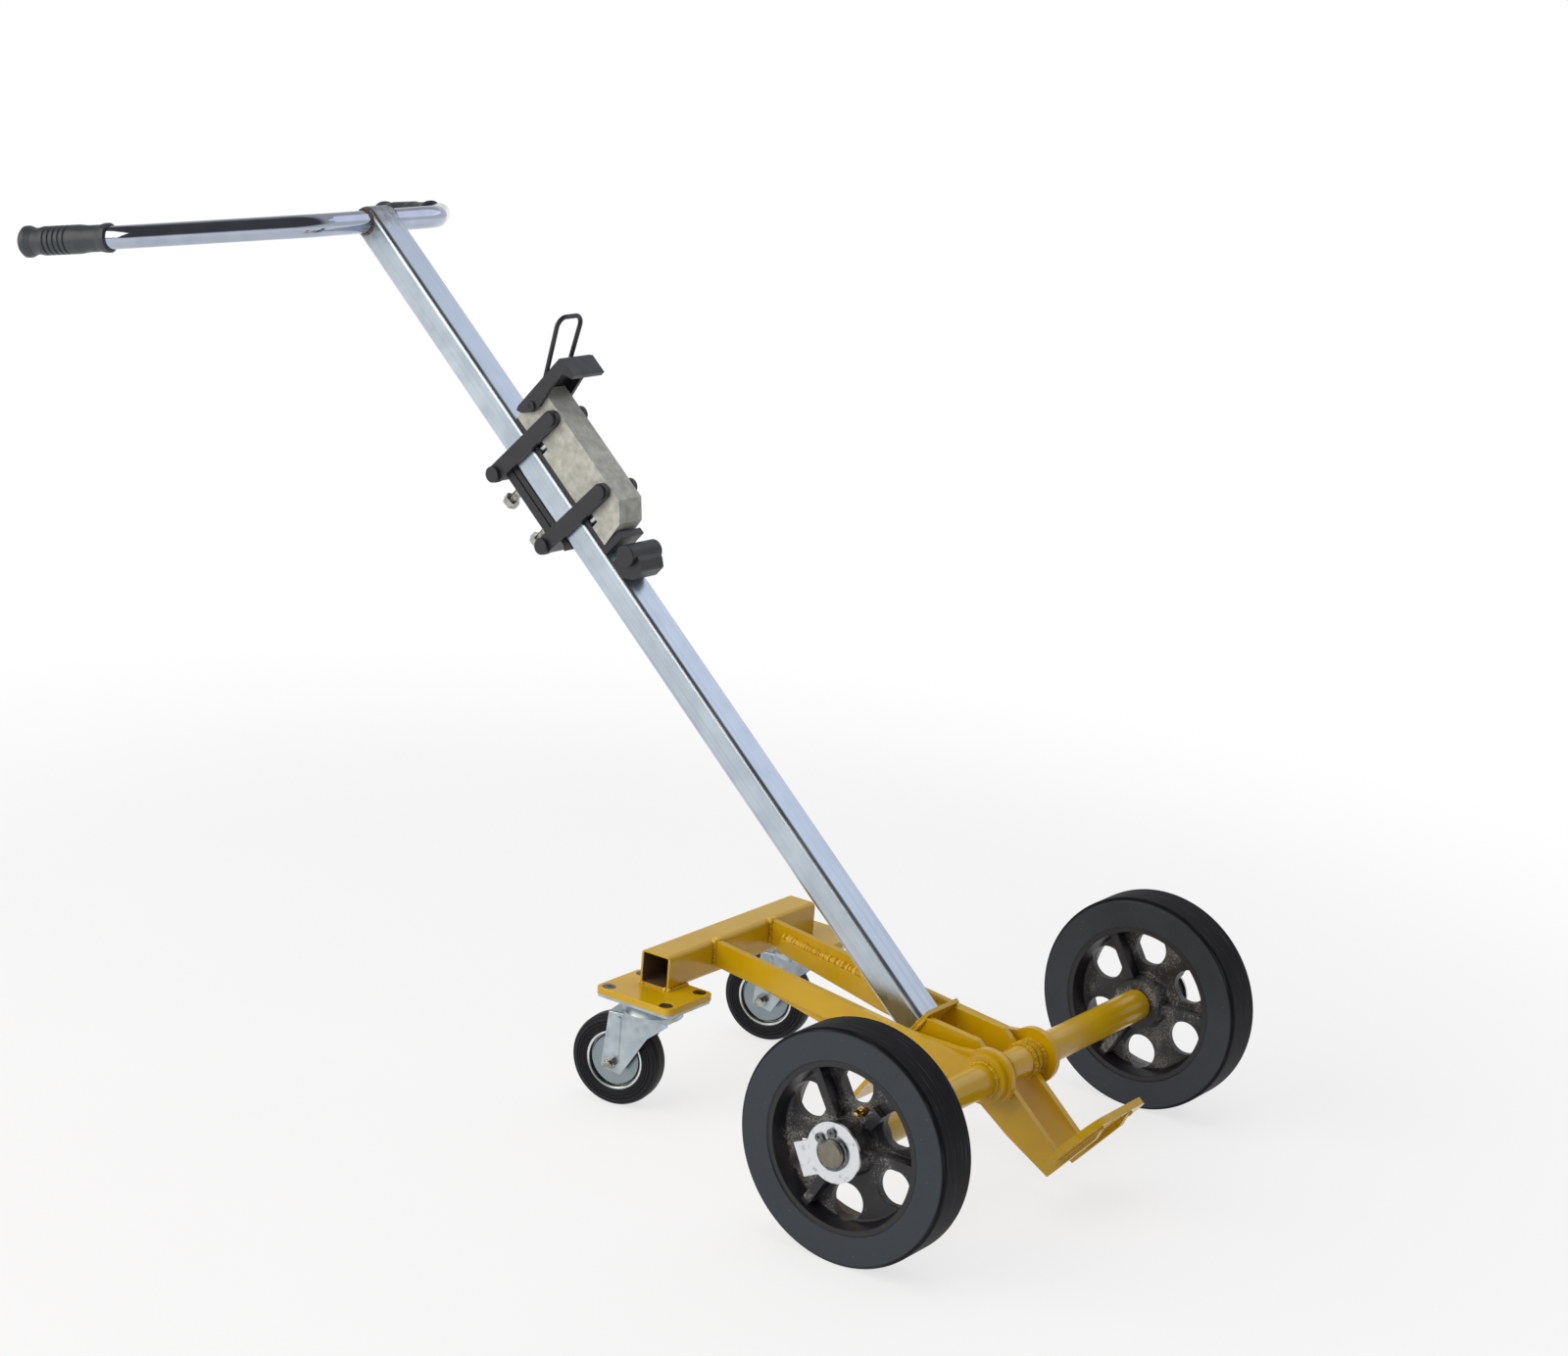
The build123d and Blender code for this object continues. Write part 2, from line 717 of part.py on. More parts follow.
# Castor axle: a bolt with a hexagon on each side and bevelled ends.
axle_hex = 7.5
axle_hex_height = 6.0
axle_end_bevel = 1.0
with BuildPart() as castor_axle_right:
    with BuildSketch(castor_side):
        with Locations(castor_hub):
            Circle(axle_pin_radius)
    extrude(amount=leg_outer + axle_hex_height + 3, both=True)
    for hand, _ in hands:
        with BuildSketch(castor_side.offset(hand * leg_outer)):
            with Locations(castor_hub):
                RegularPolygon(axle_hex, 6)
        extrude(amount=hand * axle_hex_height)
    chamfer(castor_axle_right.faces().sort_by(castor_line)[-1].edges(), axle_end_bevel)
    chamfer(castor_axle_right.faces().sort_by(castor_line)[0].edges(), axle_end_bevel)
pieces["castor_axle_right"] = castor_axle_right.part
second_castor("castor_axle")

# Pressed castor rim: hub sleeve, flat discs, a groove and a bead that holds the tyre.
bead_radius = 34.0
groove_outer = 31.0
groove_inner = 28.5
groove_depth = 4.0
sleeve_radius = 10.0
disc_half = 9.0
half_castor = castor_width / 2
with BuildPart() as castor_rim_right:
    with BuildSketch(castor_section):
        with BuildLine():
            Polyline(
                (axle_pin_radius + fit_gap, 0),
                (axle_pin_radius + fit_gap, leg_inner - 1),
                (sleeve_radius, leg_inner - 1),
                (sleeve_radius + 1, disc_half),
                (groove_inner, disc_half),
                (groove_inner, disc_half - groove_depth),
                (groove_outer, disc_half - groove_depth),
                (groove_outer + 0.5, half_castor - 2.5),
                (groove_outer + 1.5, half_castor - 1.5),
                (bead_radius, half_castor - 2),
                (bead_radius, 0),
                close=True,
            )
        make_face()
        mirror(about=Plane.XZ)
    revolve(axis=castor_line)
pieces["castor_rim_right"] = castor_rim_right.part
second_castor("castor_rim")

# Castor tyre with ringed side walls and a rounded tread.
ring_groove = 0.8
ring_spacing = 3.0
tyre_side = [(bead_radius, 0), (bead_radius, half_castor - 2), (bead_radius + 2, half_castor - 0.6)]
for count in range(3):
    groove = bead_radius + 4 + count * ring_spacing
    tyre_side += [(groove, half_castor), (groove + 0.4, half_castor - ring_groove)]
    tyre_side += [(groove + 1.2, half_castor - ring_groove), (groove + 1.6, half_castor - 0.2)]
tyre_side += [(castor_radius - 2.5, half_castor - 2), (castor_radius - 0.7, half_castor - 5)]
tyre_side += [(castor_radius, half_castor - 8.5), (castor_radius, 0)]
with BuildPart() as castor_tyre_right:
    with BuildSketch(castor_section):
        with BuildLine():
            Polyline(*tyre_side, close=True)
        make_face()
        mirror(about=Plane.XZ)
    revolve(axis=castor_line)
pieces["castor_tyre_right"] = castor_tyre_right.part
second_castor("castor_tyre")

# Sliding rim clamp, drawn in the mast's side view.
# Two pairs of straps join a block ahead of the mast to a back bar behind it.
block_half_width = 20.0
block_rear = -42.5
block_front = 10.0
block_top = 935.0
block_bottom = 748.0
slide_gap = 0.5
strap_inner = 22.0
strap_thickness = 6.0
strap_outer = strap_inner + strap_thickness
strap_radius = 10.0
strap_rise = 6.8
front_upper = (0.0, 899.2)
pin_spacing = 106.0
rear_reach = 110.7
front_lower = (front_upper[0], front_upper[1] - pin_spacing)
rear_upper = (front_upper[0] - rear_reach, front_upper[1] + strap_rise)
rear_lower = (rear_upper[0], rear_upper[1] - pin_spacing)
pin_radius = 5.0
hook_pivot = (-12.0, 928.0)
hook_pin_radius = 4.0
hook_inner = 21.5
hook_plate = 5.0
hook_outer = hook_inner + hook_plate
stud_heights = (888.0, 782.0)
stud_radius = 5.0
stud_length = 10.0
notch_height = 16.0

# Block that the load's side leans on, notched for the studs.
with BuildPart() as clamp_block:
    with BuildSketch(mast_side) as block_shape:
        with BuildLine():
            Polyline(
                (block_rear, block_bottom),
                (-8, block_bottom + 4),
                (block_front, block_bottom + 24),
                (block_front, block_top),
                (block_rear, block_top),
                close=True,
            )
        make_face()
        for height in stud_heights:
            with Locations((block_rear + stud_length / 2, height)):
                Rectangle(stud_length, notch_height, mode=Mode.SUBTRACT)
        with Locations(front_upper, front_lower):
            Circle(pin_radius + fit_gap / 2, mode=Mode.SUBTRACT)
        with Locations(hook_pivot):
            Circle(hook_pin_radius + fit_gap / 2, mode=Mode.SUBTRACT)
    extrude(amount=block_half_width, both=True)
pieces["clamp_block"] = clamp_block.part

# Slide plate between the block and the mast, with a foot under the block.
slide_rear = mast_front + slide_gap
foot_front = -16.0
foot_bottom = 739.0
foot_gap = 1.0
with BuildPart() as slide_plate:
    with BuildSketch(mast_side):
        with BuildLine():
            Polyline(
                (slide_rear, block_top),
                (slide_rear, foot_bottom),
                (foot_front, foot_bottom),
                (foot_front, block_bottom - foot_gap),
                (block_rear, block_bottom - foot_gap),
                (block_rear, block_top),
                close=True,
            )
        make_face()
    extrude(amount=block_half_width, both=True)
pieces["slide_plate"] = slide_plate.part

# Studs in the block's notches, pointing forward from the slide plate.
with BuildPart() as block_studs:
    for height in stud_heights:
        stud_point = mast_side.from_local_coords((block_rear, height, 0))
        with BuildSketch(Plane(origin=stud_point, x_dir=(0, 1, 0), z_dir=mast_side.x_dir)):
            with GridLocations(2 * (block_half_width - 7), 0, 2, 1):
                Circle(stud_radius)
        extrude(amount=stud_length)
pieces["block_studs"] = block_studs.part

# Straps and the pins they turn on.
strap_length = (rear_reach**2 + strap_rise**2) ** 0.5
strap_tilt = -degrees(asin(strap_rise / strap_length))
front_head = 8.0
front_head_height = 3.0
rear_head_height = 5.0
for level, front, rear in (("upper", front_upper, rear_upper), ("lower", front_lower, rear_lower)):
    for hand, word in hands:
        with BuildPart() as strap:
            with BuildSketch(mast_side.offset(hand * strap_inner)):
                with Locations(((front[0] + rear[0]) / 2, (front[1] + rear[1]) / 2)):
                    SlotCenterToCenter(strap_length, 2 * strap_radius, rotation=strap_tilt)
                with Locations(front):
                    Circle(pin_radius + fit_gap, mode=Mode.SUBTRACT)
                with Locations(rear):
                    Circle(pin_radius + fit_gap / 2, mode=Mode.SUBTRACT)
            extrude(amount=hand * strap_thickness)
        pieces[level + "_strap_" + word] = strap.part
    head_start = strap_outer + running_gap
    pieces[level + "_front_pin"] = cross_pin(
        mast_side, front, pin_radius, front_head, head_start, front_head_height
    )
    pieces[level + "_rear_pin"] = cross_pin(
        mast_side, rear, pin_radius, strap_radius - 0.5, strap_outer, rear_head_height
    )

# Back bar with a knuckle on each rear pin, and the pressure plate it carries.
bar_rear = -103.0
bar_front = -92.5
knuckle = 9.0
open_pivot_gap = 0.1
bolt_heights = (879.5, 821.5)
bolt_radius = 5.0
with BuildPart() as back_bar:
    with BuildSketch(mast_side) as bar_shape:
        with BuildLine():
            Polyline(
                (bar_rear, rear_lower[1] - knuckle),
                (bar_front, rear_lower[1] - knuckle),
                (bar_front, rear_upper[1] + knuckle),
                (bar_rear, rear_upper[1] + knuckle),
                close=True,
            )
        make_face()
        for spot in (rear_upper, rear_lower):
            with Locations(((spot[0] + bar_rear) / 2, spot[1])):
                Rectangle(bar_rear - spot[0] + 1, 2 * knuckle)
            with Locations(spot):
                Circle(knuckle)
        with Locations(rear_upper):
            Circle(pin_radius + fit_gap, mode=Mode.SUBTRACT)
        with Locations(rear_lower):
            Circle(pin_radius + open_pivot_gap, mode=Mode.SUBTRACT)
    extrude(amount=block_half_width, both=True)
    for height in bolt_heights:
        bolt_point = mast_side.from_local_coords((bar_rear - 1, height, 0))
        with BuildSketch(Plane(origin=bolt_point, x_dir=(0, 1, 0), z_dir=mast_side.x_dir)):
            Circle(bolt_radius + fit_gap)
        extrude(amount=bar_front - bar_rear + 2, mode=Mode.SUBTRACT)
pieces["back_bar"] = back_bar.part
plate_front = mast_back - running_gap
plate_upper = rear_upper[1] + knuckle - 2
plate_lower = 774.0
with BuildPart() as pressure_plate:
    with BuildSketch(mast_side):
        with BuildLine():
            Polyline(
                (bar_front + 1, plate_upper),
                (bar_front + 1, plate_lower + 12),
                (bar_front - 3.5, plate_lower + 6),
                (plate_front, plate_lower),
                (plate_front, plate_upper),
                close=True,
            )
        make_face()
    extrude(amount=block_half_width - 1, both=True)
pieces["pressure_plate"] = pressure_plate.part

# Hexagon bolts through the back bar that bear on the pressure plate, each with a lock nut on the bar.
bolt_start = bar_front + 1 - bar_rear
bolt_hex = 9.8
lock_nut_height = 5.5
head_stand_off = 26.0
bolt_head_height = 8.0
with BuildPart() as grip_bolts:
    for height in bolt_heights:
        bolt_point = mast_side.from_local_coords((bar_front + 1, height, 0))
        bolt_plane = Plane(origin=bolt_point, x_dir=(0, 1, 0), z_dir=-mast_side.x_dir)
        with BuildSketch(bolt_plane):
            Circle(bolt_radius)
        extrude(amount=bolt_start + head_stand_off)
        with BuildSketch(bolt_plane.offset(bolt_start)):
            RegularPolygon(bolt_hex, 6)
        extrude(amount=lock_nut_height)
        with BuildSketch(bolt_plane.offset(bolt_start + head_stand_off)):
            RegularPolygon(bolt_hex, 6, rotation=20)
        extrude(amount=bolt_head_height)
pieces["grip_bolts"] = grip_bolts.part

# Rim hook: two side plates on the pivot, a top plate and a turned-down nose.
hook_top = 941.0
nose_front = 62.0
nose_thickness = 6.0
nose_bottom = 912.0
nose_bevel = 4.0
with BuildPart() as hook:
    for hand, _ in hands:
        with BuildSketch(mast_side.offset(hand * hook_inner)):
            with BuildLine():
                Polyline(
                    (-33, 939),
                    (-30, 932),
                    (-16.5, 922.6),
                    (-4.5, 920.6),
                    (30, 926),
                    (nose_front - 14, hook_top - 12),
                    (nose_front - nose_thickness, nose_bottom),
                    (nose_front, nose_bottom),
                    (nose_front, hook_top - nose_bevel),
                    (nose_front - nose_bevel, hook_top),
                    (-4, hook_top),
                    (-28, hook_top),
                    close=True,
                )
            make_face()
            with Locations(hook_pivot):
                Circle(hook_pin_radius + fit_gap, mode=Mode.SUBTRACT)
        extrude(amount=hand * hook_plate)
    with BuildSketch(mast_side):
        with BuildLine():
            Polyline(
                (-4, block_top + 1),
                (nose_front - nose_thickness, block_top + 1),
                (nose_front - nose_thickness, nose_bottom),
                (nose_front, nose_bottom),
                (nose_front, hook_top - nose_bevel),
                (nose_front - nose_bevel, hook_top),
                (-4, hook_top),
                close=True,
            )
        make_face()
    extrude(amount=hook_inner, both=True)
pieces["hook"] = hook.part
hook_head = 5.8
hook_head_height = 2.5
pieces["hook_pin"] = cross_pin(
    mast_side, hook_pivot, hook_pin_radius, hook_head, hook_outer + running_gap, hook_head_height
)

# Wire bail on the hook for lifting it off the rim.
wire_radius = 2.75
bail_half_foot = 18.0
bail_half_top = 21.0
bail_bend = 12.0
bail_foot = (16.7, hook_top - 1)
bail_top = (86.0, 977.0)
bail_start = mast_side.from_local_coords((bail_foot[0], bail_foot[1], 0))
bail_end = mast_side.from_local_coords((bail_top[0], bail_top[1], 0))
bail_way = (bail_end - bail_start).normalized()
bail_plane = Plane(origin=bail_start, x_dir=(0, 1, 0), z_dir=Vector(0, 1, 0).cross(bail_way))
bail_length = (bail_end - bail_start).length
with BuildPart() as hook_bail:
    with BuildLine(bail_plane) as bail_path:
        FilletPolyline(
            (-bail_half_foot, 0),
            (-bail_half_top, bail_length),
            (bail_half_top, bail_length),
            (bail_half_foot, 0),
            radius=bail_bend,
        )
    with BuildSketch(Plane(origin=bail_path.wire() @ 0, z_dir=bail_path.wire() % 0)):
        Circle(wire_radius)
    sweep()
pieces["hook_bail"] = hook_bail.part

for name, piece in pieces.items():
    piece.label = name
    export_step(piece, "parts/" + name + ".step")
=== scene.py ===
from math import cos, pi, radians, sin

import bpy
from mathutils import Matrix, Vector


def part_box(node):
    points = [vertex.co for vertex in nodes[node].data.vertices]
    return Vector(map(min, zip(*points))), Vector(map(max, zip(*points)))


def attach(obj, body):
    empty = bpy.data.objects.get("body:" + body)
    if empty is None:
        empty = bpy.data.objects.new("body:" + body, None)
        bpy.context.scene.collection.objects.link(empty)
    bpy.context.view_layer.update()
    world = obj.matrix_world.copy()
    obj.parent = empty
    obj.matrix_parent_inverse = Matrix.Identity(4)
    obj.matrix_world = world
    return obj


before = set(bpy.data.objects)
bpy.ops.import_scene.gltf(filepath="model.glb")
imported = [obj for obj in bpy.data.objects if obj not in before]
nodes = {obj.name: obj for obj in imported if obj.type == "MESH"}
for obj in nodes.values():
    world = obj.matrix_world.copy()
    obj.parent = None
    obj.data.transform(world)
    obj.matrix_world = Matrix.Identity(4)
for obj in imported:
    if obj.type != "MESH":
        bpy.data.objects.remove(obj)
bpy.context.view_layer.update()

scene = bpy.context.scene


# Helpers

def linear(code):
    """Turn an sRGB hex colour into linear red, green, blue and alpha."""
    values = [int(code[start:start + 2], 16) / 255 for start in (1, 3, 5)]
    return [v / 12.92 if v <= 0.04045 else ((v + 0.055) / 1.055) ** 2.4 for v in values] + [1.0]


def repeats(size):
    """Texture scale, in repeats a metre, of a pattern whose real size is in millimetres."""
    return 1000.0 / size


def wire(tree, node, sockets):
    """Fill a node's sockets, each with a value or another node's output."""
    for name, value in sockets.items():
        if isinstance(value, bpy.types.NodeSocket):
            tree.links.new(value, node.inputs[name])
        else:
            node.inputs[name].default_value = value


def add(tree, kind, sockets=None, **settings):
    """Add one node with its settings and links."""
    node = tree.nodes.new(kind)
    for name, value in settings.items():
        setattr(node, name, value)
    wire(tree, node, sockets or {})
    return node


def begin(name):
    """Start a material: its tree, its shader, and Object coordinates in metres of the trolley's frame."""
    material = bpy.data.materials.new(name)
    material.use_nodes = True
    tree = material.node_tree
    tree.nodes.clear()
    shader = add(tree, "ShaderNodeBsdfPrincipled")
    add(tree, "ShaderNodeOutputMaterial", {"Surface": shader.outputs["BSDF"]})
    return material, tree, shader, add(tree, "ShaderNodeTexCoord").outputs["Object"]


# The trolley's own directions, in metres: along the mast and square to it in the side view.
axle_low, axle_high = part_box("axle")
axle_middle = (Vector(axle_low) + Vector(axle_high)) / 2
rail_low, rail_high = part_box("rail")
rail_middle = (Vector(rail_low) + Vector(rail_high)) / 2
mast_lean = radians(41.7)
mast_forward = Vector((sin(mast_lean), 0, cos(mast_lean)))
mast_up = Vector((-cos(mast_lean), 0, sin(mast_lean)))
castor_yaw = radians(12.0)
castor_ahead = Vector((cos(castor_yaw), sin(castor_yaw), 0))
castor_right = Vector((sin(castor_yaw), -cos(castor_yaw), 0))
sides = {"right": 1, "left": -1}

# Places in the side views, in millimetres from the axle's middle: mast, handlebar's hole and castors.
mast_ahead = -66
bar_hole = (mast_ahead, 1250)
castor_pivot, castor_out, castor_height, castor_trail = -380, 142, -71.5, 38


def level_view(ahead, up, right):
    """A point in the level side view, in millimetres from the axle's middle."""
    return axle_middle + Vector((ahead, -right, up)) / 1000


def mast_view(ahead, up, right):
    """A point in the leaning side view, in millimetres from the axle's middle."""
    return axle_middle + (mast_forward * ahead + mast_up * up + Vector((0, -right, 0))) / 1000


castor_hubs = {
    hand: level_view(castor_pivot, castor_height, side * castor_out) - castor_ahead * (castor_trail / 1000)
    for hand, side in sides.items()}


def castor_radius(tree, place, hand):
    """Distance from a castor's hub, in the plane of its wheel."""
    unturned = Matrix.Rotation(-castor_yaw, 3, "Z") @ castor_hubs[hand]
    about_hub = add(tree, "ShaderNodeMapping", {
        "Vector": place, "Location": -unturned, "Rotation": (0, 0, -castor_yaw)})
    in_disc = add(tree, "ShaderNodeVectorMath", {0: about_hub.outputs[0], 1: (1, 0, 1)}, operation="MULTIPLY")
    return add(tree, "ShaderNodeVectorMath", {0: in_disc.outputs[0]}, operation="LENGTH").outputs["Value"]


def about_axle(tree, place):
    """The place in the plane of the large wheels, and its distance from the axle."""
    in_wheel = add(tree, "ShaderNodeMapping", {
        "Vector": place, "Location": (-axle_middle.x, 0, -axle_middle.z), "Scale": (1, 0, 1)}).outputs[0]
    return in_wheel, add(tree, "ShaderNodeVectorMath", {0: in_wheel}, operation="LENGTH").outputs["Value"]


def soft_edges(tree, radius):
    """Normals with the edges rounded, and how squarely they face: 1 on a flat and less at an edge."""
    rounded = add(tree, "ShaderNodeBevel", {"Radius": radius}, samples=4).outputs[0]
    flat = add(tree, "ShaderNodeNewGeometry").outputs["Normal"]
    facing = add(tree, "ShaderNodeVectorMath", {0: rounded, 1: flat}, operation="DOT_PRODUCT")
    return rounded, facing.outputs["Value"]


# Golden yellow alkyd enamel, sprayed on welded steel: warm smooth gloss, a cloudy coat and a painted
# highlight along the edges. The rail's bore is dark: bare steel where the spray did not reach, with painted
# shade inside the tube.
within_rail_wall = 0.0175
yellow_enamel, tree, shader, place = begin("golden_yellow_enamel")
clouds = add(tree, "ShaderNodeTexNoise", {"Vector": place, "Scale": repeats(70), "Detail": 3.0})
coat = add(tree, "ShaderNodeMix", {0: clouds.outputs["Fac"], 6: linear("#C29500"), 7: linear("#DEB40A")},
           data_type="RGBA")
dust = add(tree, "ShaderNodeTexNoise", {
    "Vector": place, "Scale": repeats(9), "Detail": 5.0, "Roughness": 0.7})
dusty = add(tree, "ShaderNodeMapRange", {0: dust.outputs["Fac"], 1: 0.62, 2: 0.8, 3: 0.0, 4: 0.25})
soiled = add(tree, "ShaderNodeMix", {0: dusty.outputs[0], 6: coat.outputs[2], 7: linear("#8A6410")},
             data_type="RGBA")
rounded, facing = soft_edges(tree, 0.0012)
# The paler yellow along the edges is a painted highlight.
edge = add(tree, "ShaderNodeMapRange", {0: facing, 1: 0.98, 2: 0.78, 3: 0.0, 4: 0.4})
painted_edge_highlight = add(tree, "ShaderNodeMix", {0: edge.outputs[0], 6: soiled.outputs[2], 7: linear("#EBCB62")},
                 data_type="RGBA")
# Inside the rail's bore the colour turns dark brown: unsprayed steel, darkened further as painted shade.
from_rail = add(tree, "ShaderNodeVectorMath", {0: place, 1: rail_middle}, operation="SUBTRACT")
beside_rail = add(tree, "ShaderNodeVectorMath", {0: from_rail.outputs[0]}, operation="ABSOLUTE")
wall = add(tree, "ShaderNodeSeparateXYZ", {0: beside_rail.outputs[0]}).outputs
from_bore = add(tree, "ShaderNodeMath", {0: wall["X"], 1: wall["Z"]}, operation="MAXIMUM")
bore = add(tree, "ShaderNodeMath", {0: from_bore.outputs[0], 1: within_rail_wall}, operation="LESS_THAN")
unsprayed_and_shaded_bore = add(tree, "ShaderNodeMix", {0: bore.outputs[0], 6: painted_edge_highlight.outputs[2], 7: linear("#6A5640")},
                data_type="RGBA")
peel = add(tree, "ShaderNodeTexNoise", {"Vector": place, "Scale": repeats(4.0), "Detail": 2.0})
orange_peel = add(tree, "ShaderNodeBump", {
    "Height": peel.outputs["Fac"], "Distance": 0.00004, "Strength": 0.35, "Normal": rounded})
gloss = add(tree, "ShaderNodeMapRange", {0: dust.outputs["Fac"], 1: 0.3, 2: 0.7, 3: 0.16, 4: 0.26})
wire(tree, shader, {"Base Color": unsprayed_and_shaded_bore.outputs[2], "Roughness": gloss.outputs[0], "IOR": 1.52,
                    "Normal": orange_peel.outputs[0]})

# The same enamel run thick over weld lumps, glossier, and painted brighter as a painted highlight so that
# each lump glints.
weld_enamel, tree, shader, place = begin("golden_yellow_enamel_on_welds")
pooled = add(tree, "ShaderNodeTexNoise", {"Vector": place, "Scale": repeats(5), "Detail": 2.0})
coat_with_painted_glints = add(tree, "ShaderNodeMix", {0: pooled.outputs["Fac"], 6: linear("#D29E04"), 7: linear("#F8D456")},
               data_type="RGBA")
wire(tree, shader, {"Base Color": coat_with_painted_glints.outputs[2], "Roughness": 0.1, "IOR": 1.52})

# Bright zinc plate over drawn steel tube: pale silver, faint lines along the tube and a cloudy, handled skin.
# The weld at the top has burnt a brown bloom into the plating around the handlebar.
bar_middle, burnt_reach = mast_view(*bar_hole, 0), 0.045
mast_zinc, tree, shader, place = begin("bright_zinc_on_drawn_tube")
turned = add(tree, "ShaderNodeMapping", {"Vector": place, "Rotation": (0, pi / 2 - mast_lean, 0)})
stretched = add(tree, "ShaderNodeMapping", {
    "Vector": turned.outputs[0], "Scale": (repeats(3.5), repeats(3.5), repeats(400))})
lines = add(tree, "ShaderNodeTexNoise", {"Vector": stretched.outputs[0], "Scale": 1.0, "Detail": 4.0})
bloom = add(tree, "ShaderNodeTexNoise", {"Vector": place, "Scale": repeats(35), "Detail": 4.0})
cloudy = add(tree, "ShaderNodeMapRange", {0: bloom.outputs["Fac"], 1: 0.3, 2: 0.7})
skin = add(tree, "ShaderNodeMix", {0: cloudy.outputs[0], 6: linear("#B2BEC9"), 7: linear("#CAD5E0")},
           data_type="RGBA")
streaked = add(tree, "ShaderNodeMapRange", {0: lines.outputs["Fac"], 1: 0.5, 2: 0.72, 3: 0.0, 4: 0.35})
handled = add(tree, "ShaderNodeMix", {0: streaked.outputs[0], 6: skin.outputs[2], 7: linear("#94A0A8")},
              data_type="RGBA")
burnt_zone = add(tree, "ShaderNodeMapping", {
    "Vector": place, "Location": (-bar_middle.x / burnt_reach, 0, -bar_middle.z / burnt_reach),
    "Scale": (1 / burnt_reach, 0, 1 / burnt_reach)})
burnt_round = add(tree, "ShaderNodeTexGradient", {"Vector": burnt_zone.outputs[0]}, gradient_type="SPHERICAL")
soot = add(tree, "ShaderNodeTexNoise", {
    "Vector": place, "Scale": repeats(7), "Detail": 5.0, "Roughness": 0.65})
burnt_edge = add(tree, "ShaderNodeMath", {0: burnt_round.outputs["Fac"], 1: soot.outputs["Fac"]},
                 operation="MULTIPLY")
burnt = add(tree, "ShaderNodeMapRange", {0: burnt_edge.outputs[0], 1: 0.14, 2: 0.46, 3: 0.0, 4: 0.75})
scorched = add(tree, "ShaderNodeMix", {0: burnt.outputs[0], 6: handled.outputs[2], 7: linear("#5A4034")},
               data_type="RGBA")
haze = add(tree, "ShaderNodeMapRange", {0: bloom.outputs["Fac"], 1: 0.3, 2: 0.7, 3: 0.26, 4: 0.38})
dulled = add(tree, "ShaderNodeMix", {0: burnt.outputs[0], 2: haze.outputs[0], 3: 0.5})
wire(tree, shader, {"Base Color": scorched.outputs[2], "Metallic": 1.0, "Roughness": dulled.outputs[0]})

# Bright chrome plate on polished tube: a near mirror, with faint haze where hands have been.
bar_chrome, tree, shader, place = begin("bright_chrome_plate")
smear = add(tree, "ShaderNodeTexNoise", {"Vector": place, "Scale": repeats(28), "Detail": 4.0})
tint = add(tree, "ShaderNodeMix", {0: smear.outputs["Fac"], 6: linear("#9CA4B6"), 7: linear("#BEC5D2")},
           data_type="RGBA")
polish = add(tree, "ShaderNodeMapRange", {0: smear.outputs["Fac"], 1: 0.35, 2: 0.7, 3: 0.05, 4: 0.14})
wire(tree, shader, {"Base Color": tint.outputs[2], "Metallic": 1.0, "Roughness": polish.outputs[0]})

# Soft black PVC, dip moulded: dark grey, satin, with a faint bloom of dust.
grip_pvc, tree, shader, place = begin("dip_moulded_black_pvc")
bloom = add(tree, "ShaderNodeTexNoise", {"Vector": place, "Scale": repeats(18), "Detail": 4.0})
pvc = add(tree, "ShaderNodeMix", {0: bloom.outputs["Fac"], 6: linear("#2A2F34"), 7: linear("#40474E")},
          data_type="RGBA")
pores = add(tree, "ShaderNodeTexNoise", {"Vector": place, "Scale": repeats(1.1), "Detail": 2.0})
matt = add(tree, "ShaderNodeBump", {"Height": pores.outputs["Fac"], "Distance": 0.00006, "Strength": 0.5})
satin = add(tree, "ShaderNodeMapRange", {0: bloom.outputs["Fac"], 1: 0.3, 2: 0.7, 3: 0.36, 4: 0.5})
wire(tree, shader, {"Base Color": pvc.outputs[2], "Roughness": satin.outputs[0], "IOR": 1.53,
                    "Normal": matt.outputs[0]})

# White zinc plate on turned and stamped hardware: bright, slightly blue, with grey oily smudges.
white_zinc, tree, shader, place = begin("white_zinc_plate")
smudge = add(tree, "ShaderNodeTexNoise", {
    "Vector": place, "Scale": repeats(9), "Detail": 5.0, "Roughness": 0.6})
oily = add(tree, "ShaderNodeMapRange", {0: smudge.outputs["Fac"], 1: 0.56, 2: 0.7, 3: 0.0, 4: 0.75})
zinc = add(tree, "ShaderNodeMix", {0: oily.outputs[0], 6: linear("#E2E5E8"), 7: linear("#8E9192")},
           data_type="RGBA")
fine = add(tree, "ShaderNodeTexNoise", {"Vector": place, "Scale": repeats(0.9), "Detail": 2.0})
grain = add(tree, "ShaderNodeBump", {"Height": fine.outputs["Fac"], "Distance": 0.00003, "Strength": 0.4})
wire(tree, shader, {"Base Color": zinc.outputs[2], "Metallic": 1.0, "Roughness": 0.32,
                    "Normal": grain.outputs[0]})

# Phosphated steel of the retaining rings and castor screws: dark grey under thin oil, with bright glints.
oiled_steel, tree, shader, place = begin("phosphated_steel")
film = add(tree, "ShaderNodeTexNoise", {"Vector": place, "Scale": repeats(5), "Detail": 4.0})
thinned = add(tree, "ShaderNodeMapRange", {0: film.outputs["Fac"], 1: 0.35, 2: 0.68})
phosphate = add(tree, "ShaderNodeMix", {0: thinned.outputs[0], 6: linear("#46484C"), 7: linear("#868A8E")},
                data_type="RGBA")
oil = add(tree, "ShaderNodeMapRange", {0: film.outputs["Fac"], 1: 0.3, 2: 0.7, 3: 0.2, 4: 0.36})
wire(tree, shader, {"Base Color": phosphate.outputs[2], "Metallic": 1.0, "Roughness": oil.outputs[0]})

